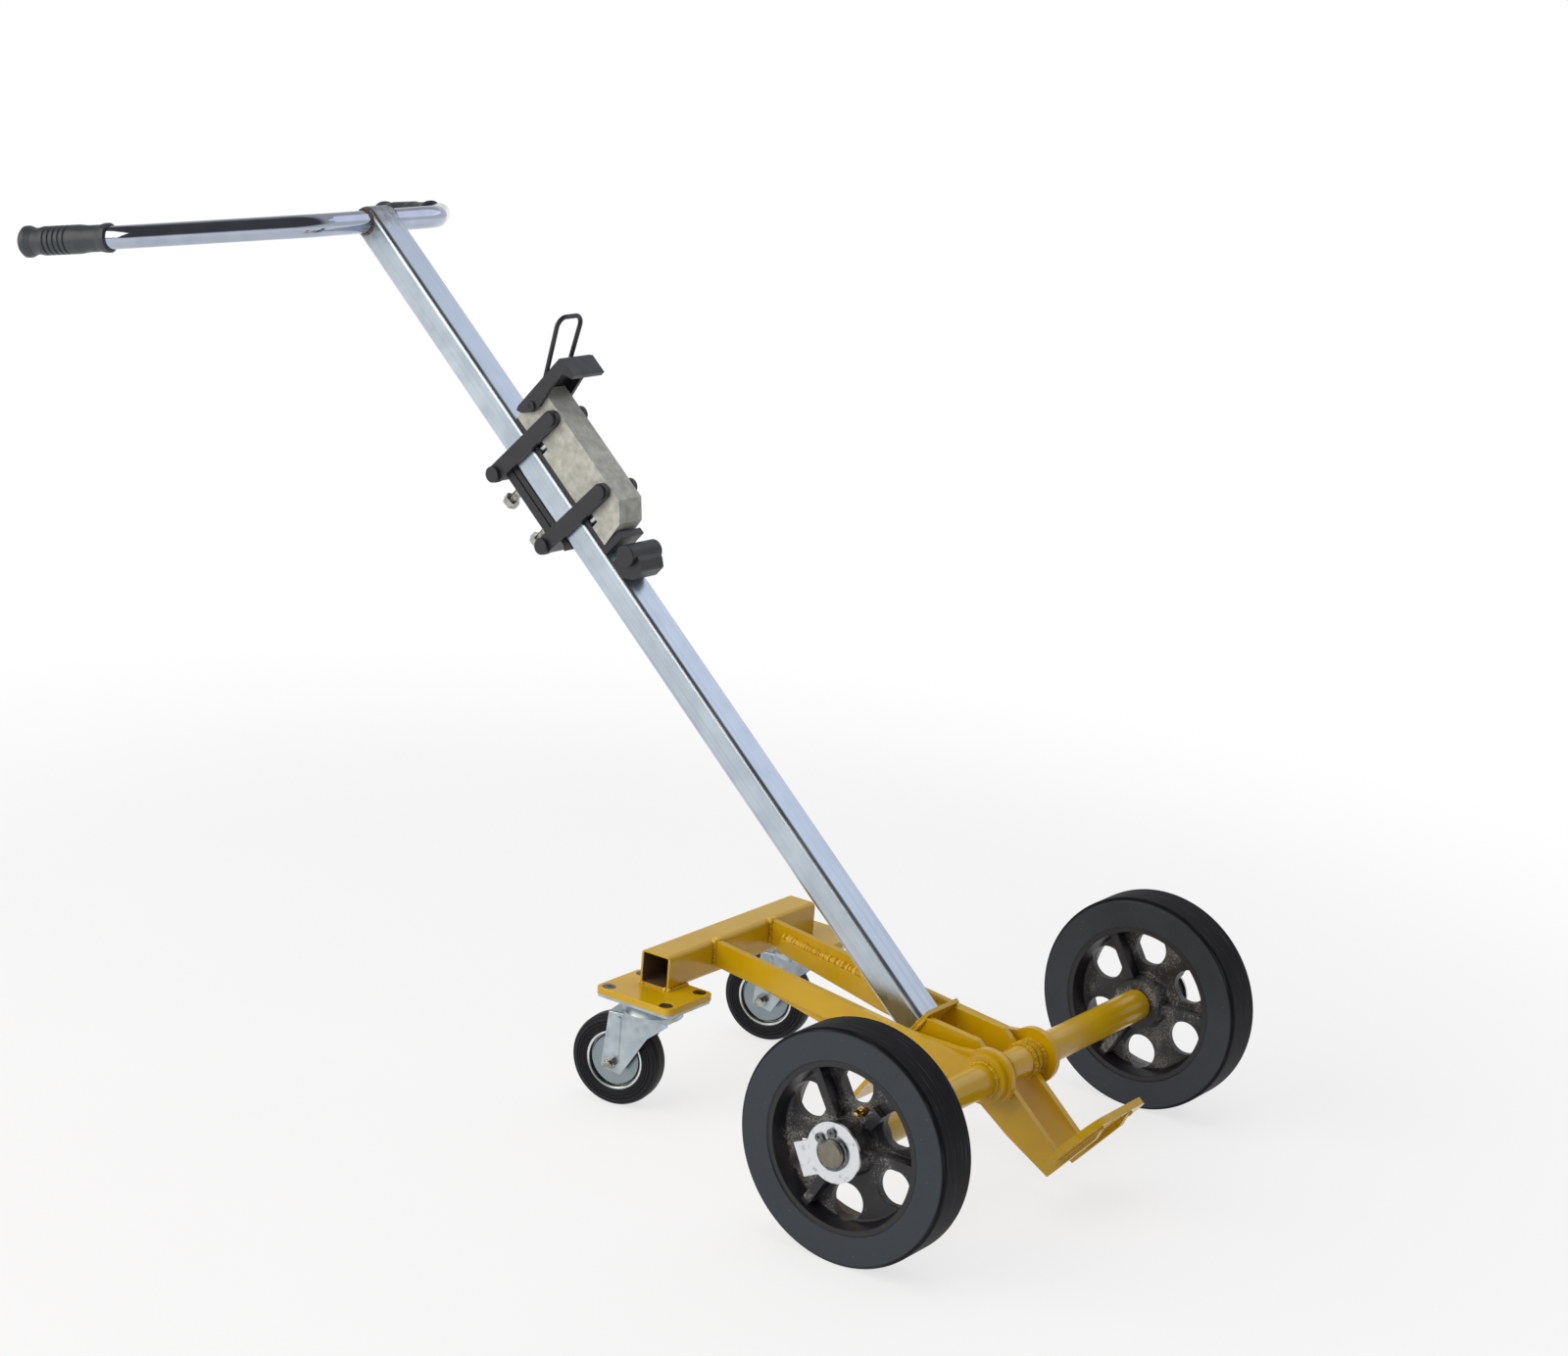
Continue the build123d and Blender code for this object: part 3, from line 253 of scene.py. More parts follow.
# Clear zinc on bolts and axles: silver with a grey-yellow bloom and dark marks, so the flats stand apart.
bolt_zinc, tree, shader, place = begin("clear_zinc_plate")
bloom = add(tree, "ShaderNodeTexNoise", {"Vector": place, "Scale": repeats(9), "Detail": 3.0})
marked = add(tree, "ShaderNodeMapRange", {0: bloom.outputs["Fac"], 1: 0.44, 2: 0.72})
clear = add(tree, "ShaderNodeMix", {0: marked.outputs[0], 6: linear("#B7B7B0"), 7: linear("#6A6964")},
            data_type="RGBA")
buffed = add(tree, "ShaderNodeMapRange", {0: bloom.outputs["Fac"], 1: 0.3, 2: 0.7, 3: 0.18, 4: 0.34})
wire(tree, shader, {"Base Color": clear.outputs[2], "Metallic": 1.0, "Roughness": buffed.outputs[0]})


# Blue zinc on pressed sheet: cool pale grey with faint cloudy spangle and a hazy shine.
def pressed_zinc(name):
    """Start blue zinc plate on a pressed piece, with its cloudy colour."""
    plated, tree, shader, place = begin("blue_zinc_on_pressed_" + name)
    spangle = add(tree, "ShaderNodeTexVoronoi", {"Vector": place, "Scale": repeats(11)}, feature="SMOOTH_F1")
    cloud = add(tree, "ShaderNodeTexNoise", {"Vector": place, "Scale": repeats(16), "Detail": 4.0})
    mottle = add(tree, "ShaderNodeMath", {0: spangle.outputs["Distance"], 1: cloud.outputs["Fac"]},
                 operation="MULTIPLY")
    spread = add(tree, "ShaderNodeMapRange", {0: mottle.outputs[0], 1: 0.05, 2: 0.4})
    sheet = add(tree, "ShaderNodeMix", {0: spread.outputs[0], 6: linear("#A3AFB6"), 7: linear("#C0CAD0")},
                data_type="RGBA")
    dull = add(tree, "ShaderNodeMapRange", {0: cloud.outputs["Fac"], 1: 0.3, 2: 0.7, 3: 0.24, 4: 0.4})
    wire(tree, shader, {"Base Color": sheet.outputs[2], "Metallic": 1.0, "Roughness": dull.outputs[0]})
    return plated, tree, shader, place, sheet.outputs[2]


fork_zinc = pressed_zinc("sheet")[0]

# The castor rims have the same plate, duller on the disc, with a painted highlight on the bead and painted
# shade, black and not metallic, in the groove between.
groove_radius, groove_half, bead_radius = 0.0297, 0.0011, 0.0304
rim_zinc = {}
for hand in sides:
    rim_zinc[hand], tree, shader, place, sheet = pressed_zinc(hand + "_rim")
    from_hub = castor_radius(tree, place, hand)
    groove = add(tree, "ShaderNodeMath", {0: from_hub, 1: groove_radius, 2: groove_half}, operation="COMPARE")
    on_bead = add(tree, "ShaderNodeMath", {0: from_hub, 1: bead_radius}, operation="GREATER_THAN")
    dull_disc = add(tree, "ShaderNodeMix", {0: 0.75, 6: sheet, 7: linear("#808B90")}, data_type="RGBA")
    # The bright bead is a painted highlight.
    bead_highlight_and_tyre_roughness = add(tree, "ShaderNodeMix", {
        0: on_bead.outputs[0], 6: dull_disc.outputs[2], 7: linear("#E3E8EA")}, data_type="RGBA")
    # The black groove is painted shade.
    groove_painted_shade = add(tree, "ShaderNodeMix", {0: groove.outputs[0], 6: bead_highlight_and_tyre_roughness.outputs[2], 7: linear("#101114")},
                  data_type="RGBA")
    outside_groove = add(tree, "ShaderNodeMath", {0: 1.0, 1: groove.outputs[0]}, operation="SUBTRACT")
    wire(tree, shader, {"Base Color": groove_painted_shade.outputs[2], "Metallic": outside_groove.outputs[0]})

# Black vulcanised rubber of the castor tyres: charcoal, satin, with mould bloom and fine rings on the sides.
castor_rubber = {}
for hand in sides:
    castor_rubber[hand], tree, shader, place = begin("black_vulcanised_rubber_" + hand)
    bloom = add(tree, "ShaderNodeTexNoise", {"Vector": place, "Scale": repeats(14), "Detail": 5.0})
    black = add(tree, "ShaderNodeMix", {0: bloom.outputs["Fac"], 6: linear("#0F0F13"), 7: linear("#1E1F24")},
                data_type="RGBA")
    ring_step = add(tree, "ShaderNodeMath", {0: castor_radius(tree, place, hand), 1: 2 * pi * repeats(4.2)},
                    operation="MULTIPLY")
    ring_wave = add(tree, "ShaderNodeMath", {0: ring_step.outputs[0]}, operation="SINE")
    ridges = add(tree, "ShaderNodeMapRange", {0: ring_wave.outputs[0], 1: 0.55, 2: 0.95})
    ringed = add(tree, "ShaderNodeBump", {"Height": ridges.outputs[0], "Distance": 0.0004, "Strength": 0.6})
    greyed = add(tree, "ShaderNodeMix", {0: ridges.outputs[0], 6: black.outputs[2], 7: linear("#2C2D33")},
                 data_type="RGBA")
    tooth = add(tree, "ShaderNodeTexNoise", {"Vector": place, "Scale": repeats(0.8), "Detail": 2.0})
    toothed = add(tree, "ShaderNodeBump", {
        "Height": tooth.outputs["Fac"], "Distance": 0.00005, "Strength": 0.4, "Normal": ringed.outputs[0]})
    wire(tree, shader, {"Base Color": greyed.outputs[2], "Roughness": 0.52, "IOR": 1.52,
                        "Specular IOR Level": 0.2, "Normal": toothed.outputs[0]})

# Slate grey solid rubber of the large tyres: smooth moulded sides with small pale specks, and a near black
# tread scuffed round, darker than the sides partly as painted shade.
tread_start, tread_full = 0.1205, 0.1225
tyre_rubber, tree, shader, place = begin("slate_grey_solid_rubber")
bloom = add(tree, "ShaderNodeTexNoise", {"Vector": place, "Scale": repeats(45), "Detail": 4.0})
slate = add(tree, "ShaderNodeMix", {0: bloom.outputs["Fac"], 6: linear("#1A212A"), 7: linear("#29313B")},
            data_type="RGBA")
specks = add(tree, "ShaderNodeTexNoise", {"Vector": place, "Scale": repeats(3.2), "Detail": 1.0})
pale = add(tree, "ShaderNodeMapRange", {0: specks.outputs["Fac"], 1: 0.74, 2: 0.8, 3: 0.0, 4: 0.35})
specked = add(tree, "ShaderNodeMix", {0: pale.outputs[0], 6: slate.outputs[2], 7: linear("#8A8F90")},
              data_type="RGBA")
in_wheel, from_axle = about_axle(tree, place)
# The tread is darker than the sides; part of that is painted shade.
tread = add(tree, "ShaderNodeMapRange", {0: from_axle, 1: tread_start, 2: tread_full})
across_wheel = add(tree, "ShaderNodeSeparateXYZ", {0: in_wheel}).outputs
angle = add(tree, "ShaderNodeMath", {0: across_wheel["Z"], 1: across_wheel["X"]}, operation="ARCTAN2")
width = add(tree, "ShaderNodeSeparateXYZ", {0: place}).outputs["Y"]
unrolled = add(tree, "ShaderNodeCombineXYZ", {"X": angle.outputs[0], "Y": width})
drawn_out = add(tree, "ShaderNodeMapping", {
    "Vector": unrolled.outputs[0], "Scale": (axle_middle.z * repeats(45), repeats(1.8), 1)})
scuffs = add(tree, "ShaderNodeTexNoise", {"Vector": drawn_out.outputs[0], "Scale": 1.0, "Detail": 4.0})
scuffed = add(tree, "ShaderNodeMapRange", {0: scuffs.outputs["Fac"], 1: 0.56, 2: 0.74, 3: 0.0, 4: 0.6})
black = add(tree, "ShaderNodeMix", {0: scuffed.outputs[0], 6: linear("#0B0B11"), 7: linear("#4A4E56")},
            data_type="RGBA")
tyre_colour = add(tree, "ShaderNodeMix", {0: tread.outputs[0], 6: specked.outputs[2], 7: black.outputs[2]},
                  data_type="RGBA")
skin_grain = add(tree, "ShaderNodeTexNoise", {"Vector": place, "Scale": repeats(1.6), "Detail": 3.0})
moulded = add(tree, "ShaderNodeBump", {
    "Height": skin_grain.outputs["Fac"], "Distance": 0.00008, "Strength": 0.4})
bead_highlight_and_tyre_roughness = add(tree, "ShaderNodeMapRange", {0: bloom.outputs["Fac"], 1: 0.3, 2: 0.7, 3: 0.36, 4: 0.5})
sooty = add(tree, "ShaderNodeMix", {0: tread.outputs[0], 2: bead_highlight_and_tyre_roughness.outputs[0], 3: 0.62})
sheen = add(tree, "ShaderNodeMapRange", {0: tread.outputs[0], 3: 0.5, 4: 0.15})
wire(tree, shader, {"Base Color": tyre_colour.outputs[2], "Roughness": sooty.outputs[0], "IOR": 1.52,
                    "Specular IOR Level": sheen.outputs[0], "Normal": moulded.outputs[0]})

# Black paint over sand-cast iron: the sand's grain shows through as grey specks, and dust lies on the web.
web_end, rim_start = 0.078, 0.088
cast_iron, tree, shader, place = begin("black_paint_on_sand_cast_iron")
sand = add(tree, "ShaderNodeTexNoise", {
    "Vector": place, "Scale": repeats(2.2), "Detail": 3.0, "Roughness": 0.6})
patches = add(tree, "ShaderNodeTexNoise", {"Vector": place, "Scale": repeats(40), "Detail": 3.0})
in_wheel, from_axle = about_axle(tree, place)
on_web = add(tree, "ShaderNodeMapRange", {0: from_axle, 1: web_end, 2: rim_start, 3: 1.0, 4: 0.25})
dust_here = add(tree, "ShaderNodeMath", {0: patches.outputs["Fac"], 1: on_web.outputs[0]},
                operation="MULTIPLY")
settled = add(tree, "ShaderNodeMapRange", {0: dust_here.outputs[0], 1: 0.4, 2: 0.62, 3: 0.0, 4: 0.6})
dusted = add(tree, "ShaderNodeMix", {0: settled.outputs[0], 6: linear("#1B1A20"), 7: linear("#4A494B")},
             data_type="RGBA")
bare = add(tree, "ShaderNodeMath", {0: sand.outputs["Fac"], 1: dust_here.outputs[0]}, operation="MULTIPLY")
grit = add(tree, "ShaderNodeMapRange", {0: bare.outputs[0], 1: 0.26, 2: 0.34, 3: 0.0, 4: 0.75})
iron = add(tree, "ShaderNodeMix", {0: grit.outputs[0], 6: dusted.outputs[2], 7: linear("#8B8A87")},
           data_type="RGBA")
rounded = add(tree, "ShaderNodeBevel", {"Radius": 0.002}, samples=4)
casting = add(tree, "ShaderNodeBump", {
    "Height": sand.outputs["Fac"], "Distance": 0.0006, "Strength": 0.7, "Normal": rounded.outputs[0]})
wire(tree, shader, {"Base Color": iron.outputs[2], "Roughness": 0.42, "IOR": 1.5,
                    "Normal": casting.outputs[0]})

# Bare turned steel of the axle: greyed and brownish, with fine lathe rings about the axle line.
# The rings are drawn coarser than a lathe's, so that they show.
wave_factor = 2 * pi / 20  # a wave texture at scale 1 has one ring in so many metres
axle_steel, tree, shader, place = begin("bare_turned_steel")
lathe_place = add(tree, "ShaderNodeMapping", {
    "Vector": place, "Location": (-axle_middle.x, 0, -axle_middle.z)})
lathe = add(tree, "ShaderNodeTexWave", {
    "Vector": lathe_place.outputs[0], "Scale": repeats(8.8) * wave_factor, "Distortion": 1.5},
    wave_type="RINGS", rings_direction="Y")
tarnish = add(tree, "ShaderNodeTexNoise", {"Vector": place, "Scale": repeats(8), "Detail": 5.0})
steel = add(tree, "ShaderNodeMix", {0: tarnish.outputs["Fac"], 6: linear("#6A6456"), 7: linear("#9A968A")},
            data_type="RGBA")
turned_rings = add(tree, "ShaderNodeBump", {
    "Height": lathe.outputs["Fac"], "Distance": 0.00004, "Strength": 0.5})
wire(tree, shader, {"Base Color": steel.outputs[2], "Metallic": 1.0, "Roughness": 0.46,
                    "Normal": turned_rings.outputs[0]})

# Sintered bronze of the hub bushes: dull golden brown with open pores.
bush_bronze, tree, shader, place = begin("sintered_bronze")
pores = add(tree, "ShaderNodeTexNoise", {"Vector": place, "Scale": repeats(1.0), "Detail": 3.0})
bronze = add(tree, "ShaderNodeMix", {0: pores.outputs["Fac"], 6: linear("#7A5A30"), 7: linear("#A88148")},
             data_type="RGBA")
wire(tree, shader, {"Base Color": bronze.outputs[2], "Metallic": 1.0, "Roughness": 0.5})

# Machined brass of the grease nipples: bright yellow metal with darker handled patches.
nipple_brass, tree, shader, place = begin("machined_brass")
patina = add(tree, "ShaderNodeTexNoise", {"Vector": place, "Scale": repeats(4), "Detail": 4.0})
brass = add(tree, "ShaderNodeMix", {0: patina.outputs["Fac"], 6: linear("#B58A45"), 7: linear("#F2D28C")},
            data_type="RGBA")
wire(tree, shader, {"Base Color": brass.outputs[2], "Metallic": 1.0, "Roughness": 0.2})

# Satin black stove paint on flat bar: cool charcoal, slightly uneven, with softened and rubbed edges.
black_paint, tree, shader, place = begin("satin_black_stove_paint")
uneven = add(tree, "ShaderNodeTexNoise", {"Vector": place, "Scale": repeats(22), "Detail": 4.0})
charcoal = add(tree, "ShaderNodeMix", {0: uneven.outputs["Fac"], 6: linear("#1E2024"), 7: linear("#2D2F35")},
               data_type="RGBA")
fine = add(tree, "ShaderNodeTexNoise", {"Vector": place, "Scale": repeats(1.3), "Detail": 3.0})
rounded, facing = soft_edges(tree, 0.0008)
edge = add(tree, "ShaderNodeMapRange", {0: facing, 1: 0.97, 2: 0.75, 3: 0.0, 4: 0.4})
worn = add(tree, "ShaderNodeMix", {0: edge.outputs[0], 6: charcoal.outputs[2], 7: linear("#7C7F82")},
           data_type="RGBA")
brushed = add(tree, "ShaderNodeBump", {
    "Height": fine.outputs["Fac"], "Distance": 0.00006, "Strength": 0.5, "Normal": rounded})
satin = add(tree, "ShaderNodeMapRange", {0: uneven.outputs["Fac"], 1: 0.3, 2: 0.7, 3: 0.34, 4: 0.48})
wire(tree, shader, {"Base Color": worn.outputs[2], "Roughness": satin.outputs[0], "IOR": 1.5,
                    "Normal": brushed.outputs[0]})

# Cast nylon of the clamp block: greyish cream, matt, mottled with grit rubbed into its sawn faces.
block_nylon, tree, shader, place = begin("cast_cream_nylon")
mottle = add(tree, "ShaderNodeTexNoise", {
    "Vector": place, "Scale": repeats(12), "Detail": 5.0, "Roughness": 0.65})
uneven = add(tree, "ShaderNodeMapRange", {0: mottle.outputs["Fac"], 1: 0.3, 2: 0.68})
cream = add(tree, "ShaderNodeMix", {0: uneven.outputs[0], 6: linear("#9B9D95"), 7: linear("#C8C9C1")},
            data_type="RGBA")
sawn = add(tree, "ShaderNodeTexNoise", {"Vector": place, "Scale": repeats(1.4), "Detail": 4.0})
gritty = add(tree, "ShaderNodeMapRange", {0: sawn.outputs["Fac"], 1: 0.58, 2: 0.75, 3: 0.0, 4: 0.45})
rubbed_in = add(tree, "ShaderNodeMix", {0: gritty.outputs[0], 6: cream.outputs[2], 7: linear("#7A7B75")},
                data_type="RGBA")
rounded = add(tree, "ShaderNodeBevel", {"Radius": 0.0008}, samples=4)
rough_sawn = add(tree, "ShaderNodeBump", {
    "Height": sawn.outputs["Fac"], "Distance": 0.00012, "Strength": 0.5, "Normal": rounded.outputs[0]})
wire(tree, shader, {"Base Color": rubbed_in.outputs[2], "Roughness": 0.55, "IOR": 1.53,
                    "Normal": rough_sawn.outputs[0]})

# Painted shade on the floor of a screw's shallow recess: nearly black, matt, with a little grey.
recess_dark, tree, shader, place = begin("painted_shade_in_recess")
dust = add(tree, "ShaderNodeTexNoise", {"Vector": place, "Scale": repeats(1.5), "Detail": 3.0})
recess_shade = add(tree, "ShaderNodeMix", {0: dust.outputs["Fac"], 6: linear("#0E0E10"), 7: linear("#2A2A2C")},
            data_type="RGBA")
wire(tree, shader, {"Base Color": recess_shade.outputs[2], "Roughness": 0.7})

# Scorched weld metal on the mast: brown and straw colours over grey steel.
weld_scorch, tree, shader, place = begin("scorched_weld_metal")
heat = add(tree, "ShaderNodeTexNoise", {"Vector": place, "Scale": repeats(6), "Detail": 5.0})
burnt_scale = add(tree, "ShaderNodeMix", {0: heat.outputs["Fac"], 6: linear("#3A2A24"), 7: linear("#A89C90")},
                  data_type="RGBA")
wire(tree, shader, {"Base Color": burnt_scale.outputs[2], "Metallic": 1.0, "Roughness": 0.42})

# Which finish each piece has: right and left pieces share one word, and a piece not named here is black.
# The castors' rims and tyres have a finish for each hand.
finishes = {
    yellow_enamel: ("rail", "castor_plate", "arm", "cheek", "axle_tube", "step_plate", "foot_bracket",
                    "toe_plate"),
    mast_zinc: ("mast",),
    bar_chrome: ("handlebar",),
    grip_pvc: ("grip",),
    white_zinc: ("tab_washer", "block_studs"),
    oiled_steel: ("retaining_ring", "castor_screws"),
    bolt_zinc: ("grip_bolts", "castor_axle"),
    fork_zinc: ("castor_top_plate", "castor_fork"),
    tyre_rubber: ("tyre",),
    cast_iron: ("wheel_centre",),
    axle_steel: ("axle",),
    bush_bronze: ("wheel_bush",),
    nipple_brass: ("grease_nipple",),
    block_nylon: ("clamp_block",),
}
finish_of = {name: material for material, names in finishes.items() for name in names}
for name, node in nodes.items():
    piece = name.removesuffix("_right").removesuffix("_left")
    node.data.materials.clear()
    node.data.materials.append(finish_of.get(piece, black_paint))
for hand in sides:
    nodes["castor_rim_" + hand].data.materials[0] = rim_zinc[hand]
    nodes["castor_tyre_" + hand].data.materials[0] = castor_rubber[hand]


# Pieces grown by geometry nodes

def begin_tree(name, sizes):
    """Start a geometry tree with named inputs for its sizes."""
    tree = bpy.data.node_groups.new(name, "GeometryNodeTree")
    tree.interface.new_socket("Geometry", in_out="INPUT", socket_type="NodeSocketGeometry")
    for label, value in sizes.items():
        kind = "NodeSocketInt" if isinstance(value, int) else "NodeSocketFloat"
        tree.interface.new_socket(label, in_out="INPUT", socket_type=kind).default_value = value
    tree.interface.new_socket("Geometry", in_out="OUTPUT", socket_type="NodeSocketGeometry")
    return tree, add(tree, "NodeGroupInput").outputs


def grow(name, tree, sizes, points, body, edges=(), bead=None, facing=None):
    """Run a tree over points or lines and keep the result as a plain mesh that rides on a body."""
    mesh = bpy.data.meshes.new(name + "_base")
    mesh.from_pydata(points, edges, [])
    if bead:
        mesh.attributes.new("bead", "FLOAT", "POINT").data.foreach_set("value", bead)
    if facing:
        flat_list = [value for way in facing for value in way]
        mesh.attributes.new("facing", "FLOAT_VECTOR", "POINT").data.foreach_set("vector", flat_list)
    piece = bpy.data.objects.new(name, mesh)
    scene.collection.objects.link(piece)
    modifier = piece.modifiers.new("grow", "NODES")
    modifier.node_group = tree
    for item in tree.interface.items_tree:
        if item.in_out == "INPUT" and item.name in sizes:
            modifier[item.identifier] = sizes[item.name]
    graph = bpy.context.evaluated_depsgraph_get()
    plain = bpy.data.meshes.new_from_object(piece.evaluated_get(graph), depsgraph=graph)
    piece.modifiers.remove(modifier)
    piece.data = plain
    plain.name = name
    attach(piece, body)


def stand(tree, points, shape):
    """Stand a shape on each point, turned to that point's facing, as real mesh."""
    way = add(tree, "GeometryNodeInputNamedAttribute", {"Name": "facing"}, data_type="FLOAT_VECTOR")
    turn = add(tree, "FunctionNodeAlignRotationToVector", {"Vector": way.outputs[0]}, axis="Z")
    stood = add(tree, "GeometryNodeInstanceOnPoints", {
        "Points": points, "Instance": shape, "Rotation": turn.outputs[0]})
    return add(tree, "GeometryNodeRealizeInstances", {"Geometry": stood.outputs[0]}).outputs[0]


def bead_tree(name, material):
    """A weld bead: overlapping ripples along lines, each as big as its bead value, flattened lengthwise."""
    flattened = 0.6
    tree, given = begin_tree(name, {"Ripple pitch": 0.0024, "Unevenness": 0.22, "Seed": 4})
    lines = add(tree, "GeometryNodeMeshToCurve", {"Mesh": given["Geometry"]})
    ripples = add(tree, "GeometryNodeResampleCurve", {
        "Curve": lines.outputs[0], "Length": given["Ripple pitch"]}, mode="LENGTH")
    bead = add(tree, "GeometryNodeInputNamedAttribute", {"Name": "bead"}, data_type="FLOAT").outputs[0]
    least = add(tree, "ShaderNodeMath", {0: 1.0, 1: given["Unevenness"]}, operation="SUBTRACT").outputs[0]
    most = add(tree, "ShaderNodeMath", {0: 1.0, 1: given["Unevenness"]}, operation="ADD").outputs[0]
    lump = add(tree, "FunctionNodeRandomValue", {2: least, 3: most, "Seed": given["Seed"]},
               data_type="FLOAT").outputs[1]
    across = add(tree, "ShaderNodeMath", {0: bead, 1: lump}, operation="MULTIPLY").outputs[0]
    along = add(tree, "ShaderNodeMath", {0: across, 1: flattened}, operation="MULTIPLY").outputs[0]
    size = add(tree, "ShaderNodeCombineXYZ", {"X": across, "Y": across, "Z": along}).outputs[0]
    way = add(tree, "GeometryNodeInputTangent").outputs[0]
    turn = add(tree, "FunctionNodeAlignRotationToVector", {"Vector": way}, axis="Z").outputs[0]
    drop = add(tree, "GeometryNodeMeshUVSphere", {"Segments": 8, "Rings": 5, "Radius": 1.0})
    placed = add(tree, "GeometryNodeInstanceOnPoints", {
        "Points": ripples.outputs[0], "Instance": drop.outputs[0], "Rotation": turn, "Scale": size})
    smooth = add(tree, "GeometryNodeSetShadeSmooth", {"Geometry": placed.outputs[0]})
    real = add(tree, "GeometryNodeRealizeInstances", {"Geometry": smooth.outputs[0]})
    coated = add(tree, "GeometryNodeSetMaterial", {"Geometry": real.outputs[0], "Material": material})
    add(tree, "NodeGroupOutput", {"Geometry": coated.outputs[0]})
    return tree


def bead_lines(lines):
    """Points, edges and bead sizes of weld lines, each a bead radius in millimetres and its points."""
    points, edges, beads = [], [], []
    for radius, line in lines:
        edges += [(len(points) + step, len(points) + step + 1) for step in range(len(line) - 1)]
        points += line
        beads += [radius / 1000] * len(line)
    return points, edges, beads


def ring(view, middle, radius, right, parts=24):
    """A closed circle in one of the side views."""
    turns = [2 * pi * step / parts for step in range(parts + 1)]
    return [view(middle[0] + radius * cos(turn), middle[1] + radius * sin(turn), right) for turn in turns]


def step_height(ahead, at_mast=95.3, slope=0.111):
    """Height up the mast of the step plate's sloping upper face, in millimetres."""
    return at_mast + slope * (ahead - mast_ahead)


# Painted welds of the lower frame: even runs, and the heavy lumpy seam along the top of each cheek plate.
# Each is a bead radius and its line, in millimetres. Sideways, welds lie on the faces of the arm, the cheek
# and the foot bracket.
arm_out, arm_in, cheek_in, bracket_out, bracket_in = 57.2, 48.8, 40.8, 30.2, 21.8
arm_end, rail_back, rail_front, plate_top = -362.8, -404.5, -364.1, 18
axle_line, tube_seam, under_step, toe_seam = (0, 0), 18.6, 5.4, -114.3
even_welds, lumpy_welds = [], []
for side in sides.values():
    even_welds += [
        (2.2, [level_view(arm_end, up, side * arm_out) for up in (31, 55)]),
        (2.2, [level_view(arm_end, up, side * arm_in) for up in (31, 55)]),
        (2.6, [level_view(rail_back, plate_top, side * right) for right in (104, 136)]),
        (2.6, [level_view(rail_front, plate_top, side * right) for right in (104, 136)]),
        (3.2, ring(level_view, axle_line, tube_seam, side * arm_out)),
        (3.0, ring(level_view, axle_line, tube_seam, side * cheek_in)),
        (2.8, ring(level_view, axle_line, tube_seam, side * bracket_out)),
        (2.8, ring(level_view, axle_line, tube_seam, side * bracket_in)),
        (2.8, [mast_view(ahead, step_height(ahead) - under_step, side * bracket_out)
               for ahead in (-148, -38)]),
        (2.8, [mast_view(ahead, toe_seam, side * bracket_out) for ahead in (8, 74)]),
        (2.8, [mast_view(5.6, -106, side * right) for right in (23, 29)]),
    ]
    lumpy_welds += [
        (5.0, [level_view(ahead, up, side * 47.6) for ahead, up in ((-342, 42.6), (-213.5, 25.2))]),
        (4.4, [level_view(-364.5, 57.2, side * right) for right in (58, 48)]),
        (3.4, [level_view(ahead, plate_top, side * right)
               for ahead, right in ((-404, 136.5), (-400, 138))]),
        (3.4, [level_view(ahead, plate_top, side * right)
               for ahead, right in ((-364.6, 136.5), (-368.6, 138))]),
    ]
foot = ((-84.2, 17), (-84.2, -17), (-80, -21.2), (-52, -21.2), (-47.8, -17),
        (-47.8, 17), (-52, 21.2), (-80, 21.2), (-84.2, 17))
even_welds.append((3.2, [mast_view(ahead, step_height(ahead) + 0.4, right) for ahead, right in foot]))
points, edges, beads = bead_lines(even_welds)
grow("painted_weld_beads", bead_tree("painted_weld_bead", yellow_enamel), {"Seed": 4}, points,
     "frame", edges, beads)
points, edges, beads = bead_lines(lumpy_welds)
grow("lumpy_weld_beads", bead_tree("lumpy_weld_bead", weld_enamel),
     {"Seed": 7, "Ripple pitch": 0.0038, "Unevenness": 0.4}, points, "frame", edges, beads)

# Bare weld between the mast's top and the handlebar.
bare_welds = [(2.2, ring(mast_view, bar_hole, 14.2, side * 21)) for side in sides.values()]
points, edges, beads = bead_lines(bare_welds)
grow("handlebar_weld_beads", bead_tree("bare_weld_bead", weld_scorch), {"Seed": 9}, points,
     "frame", edges, beads)


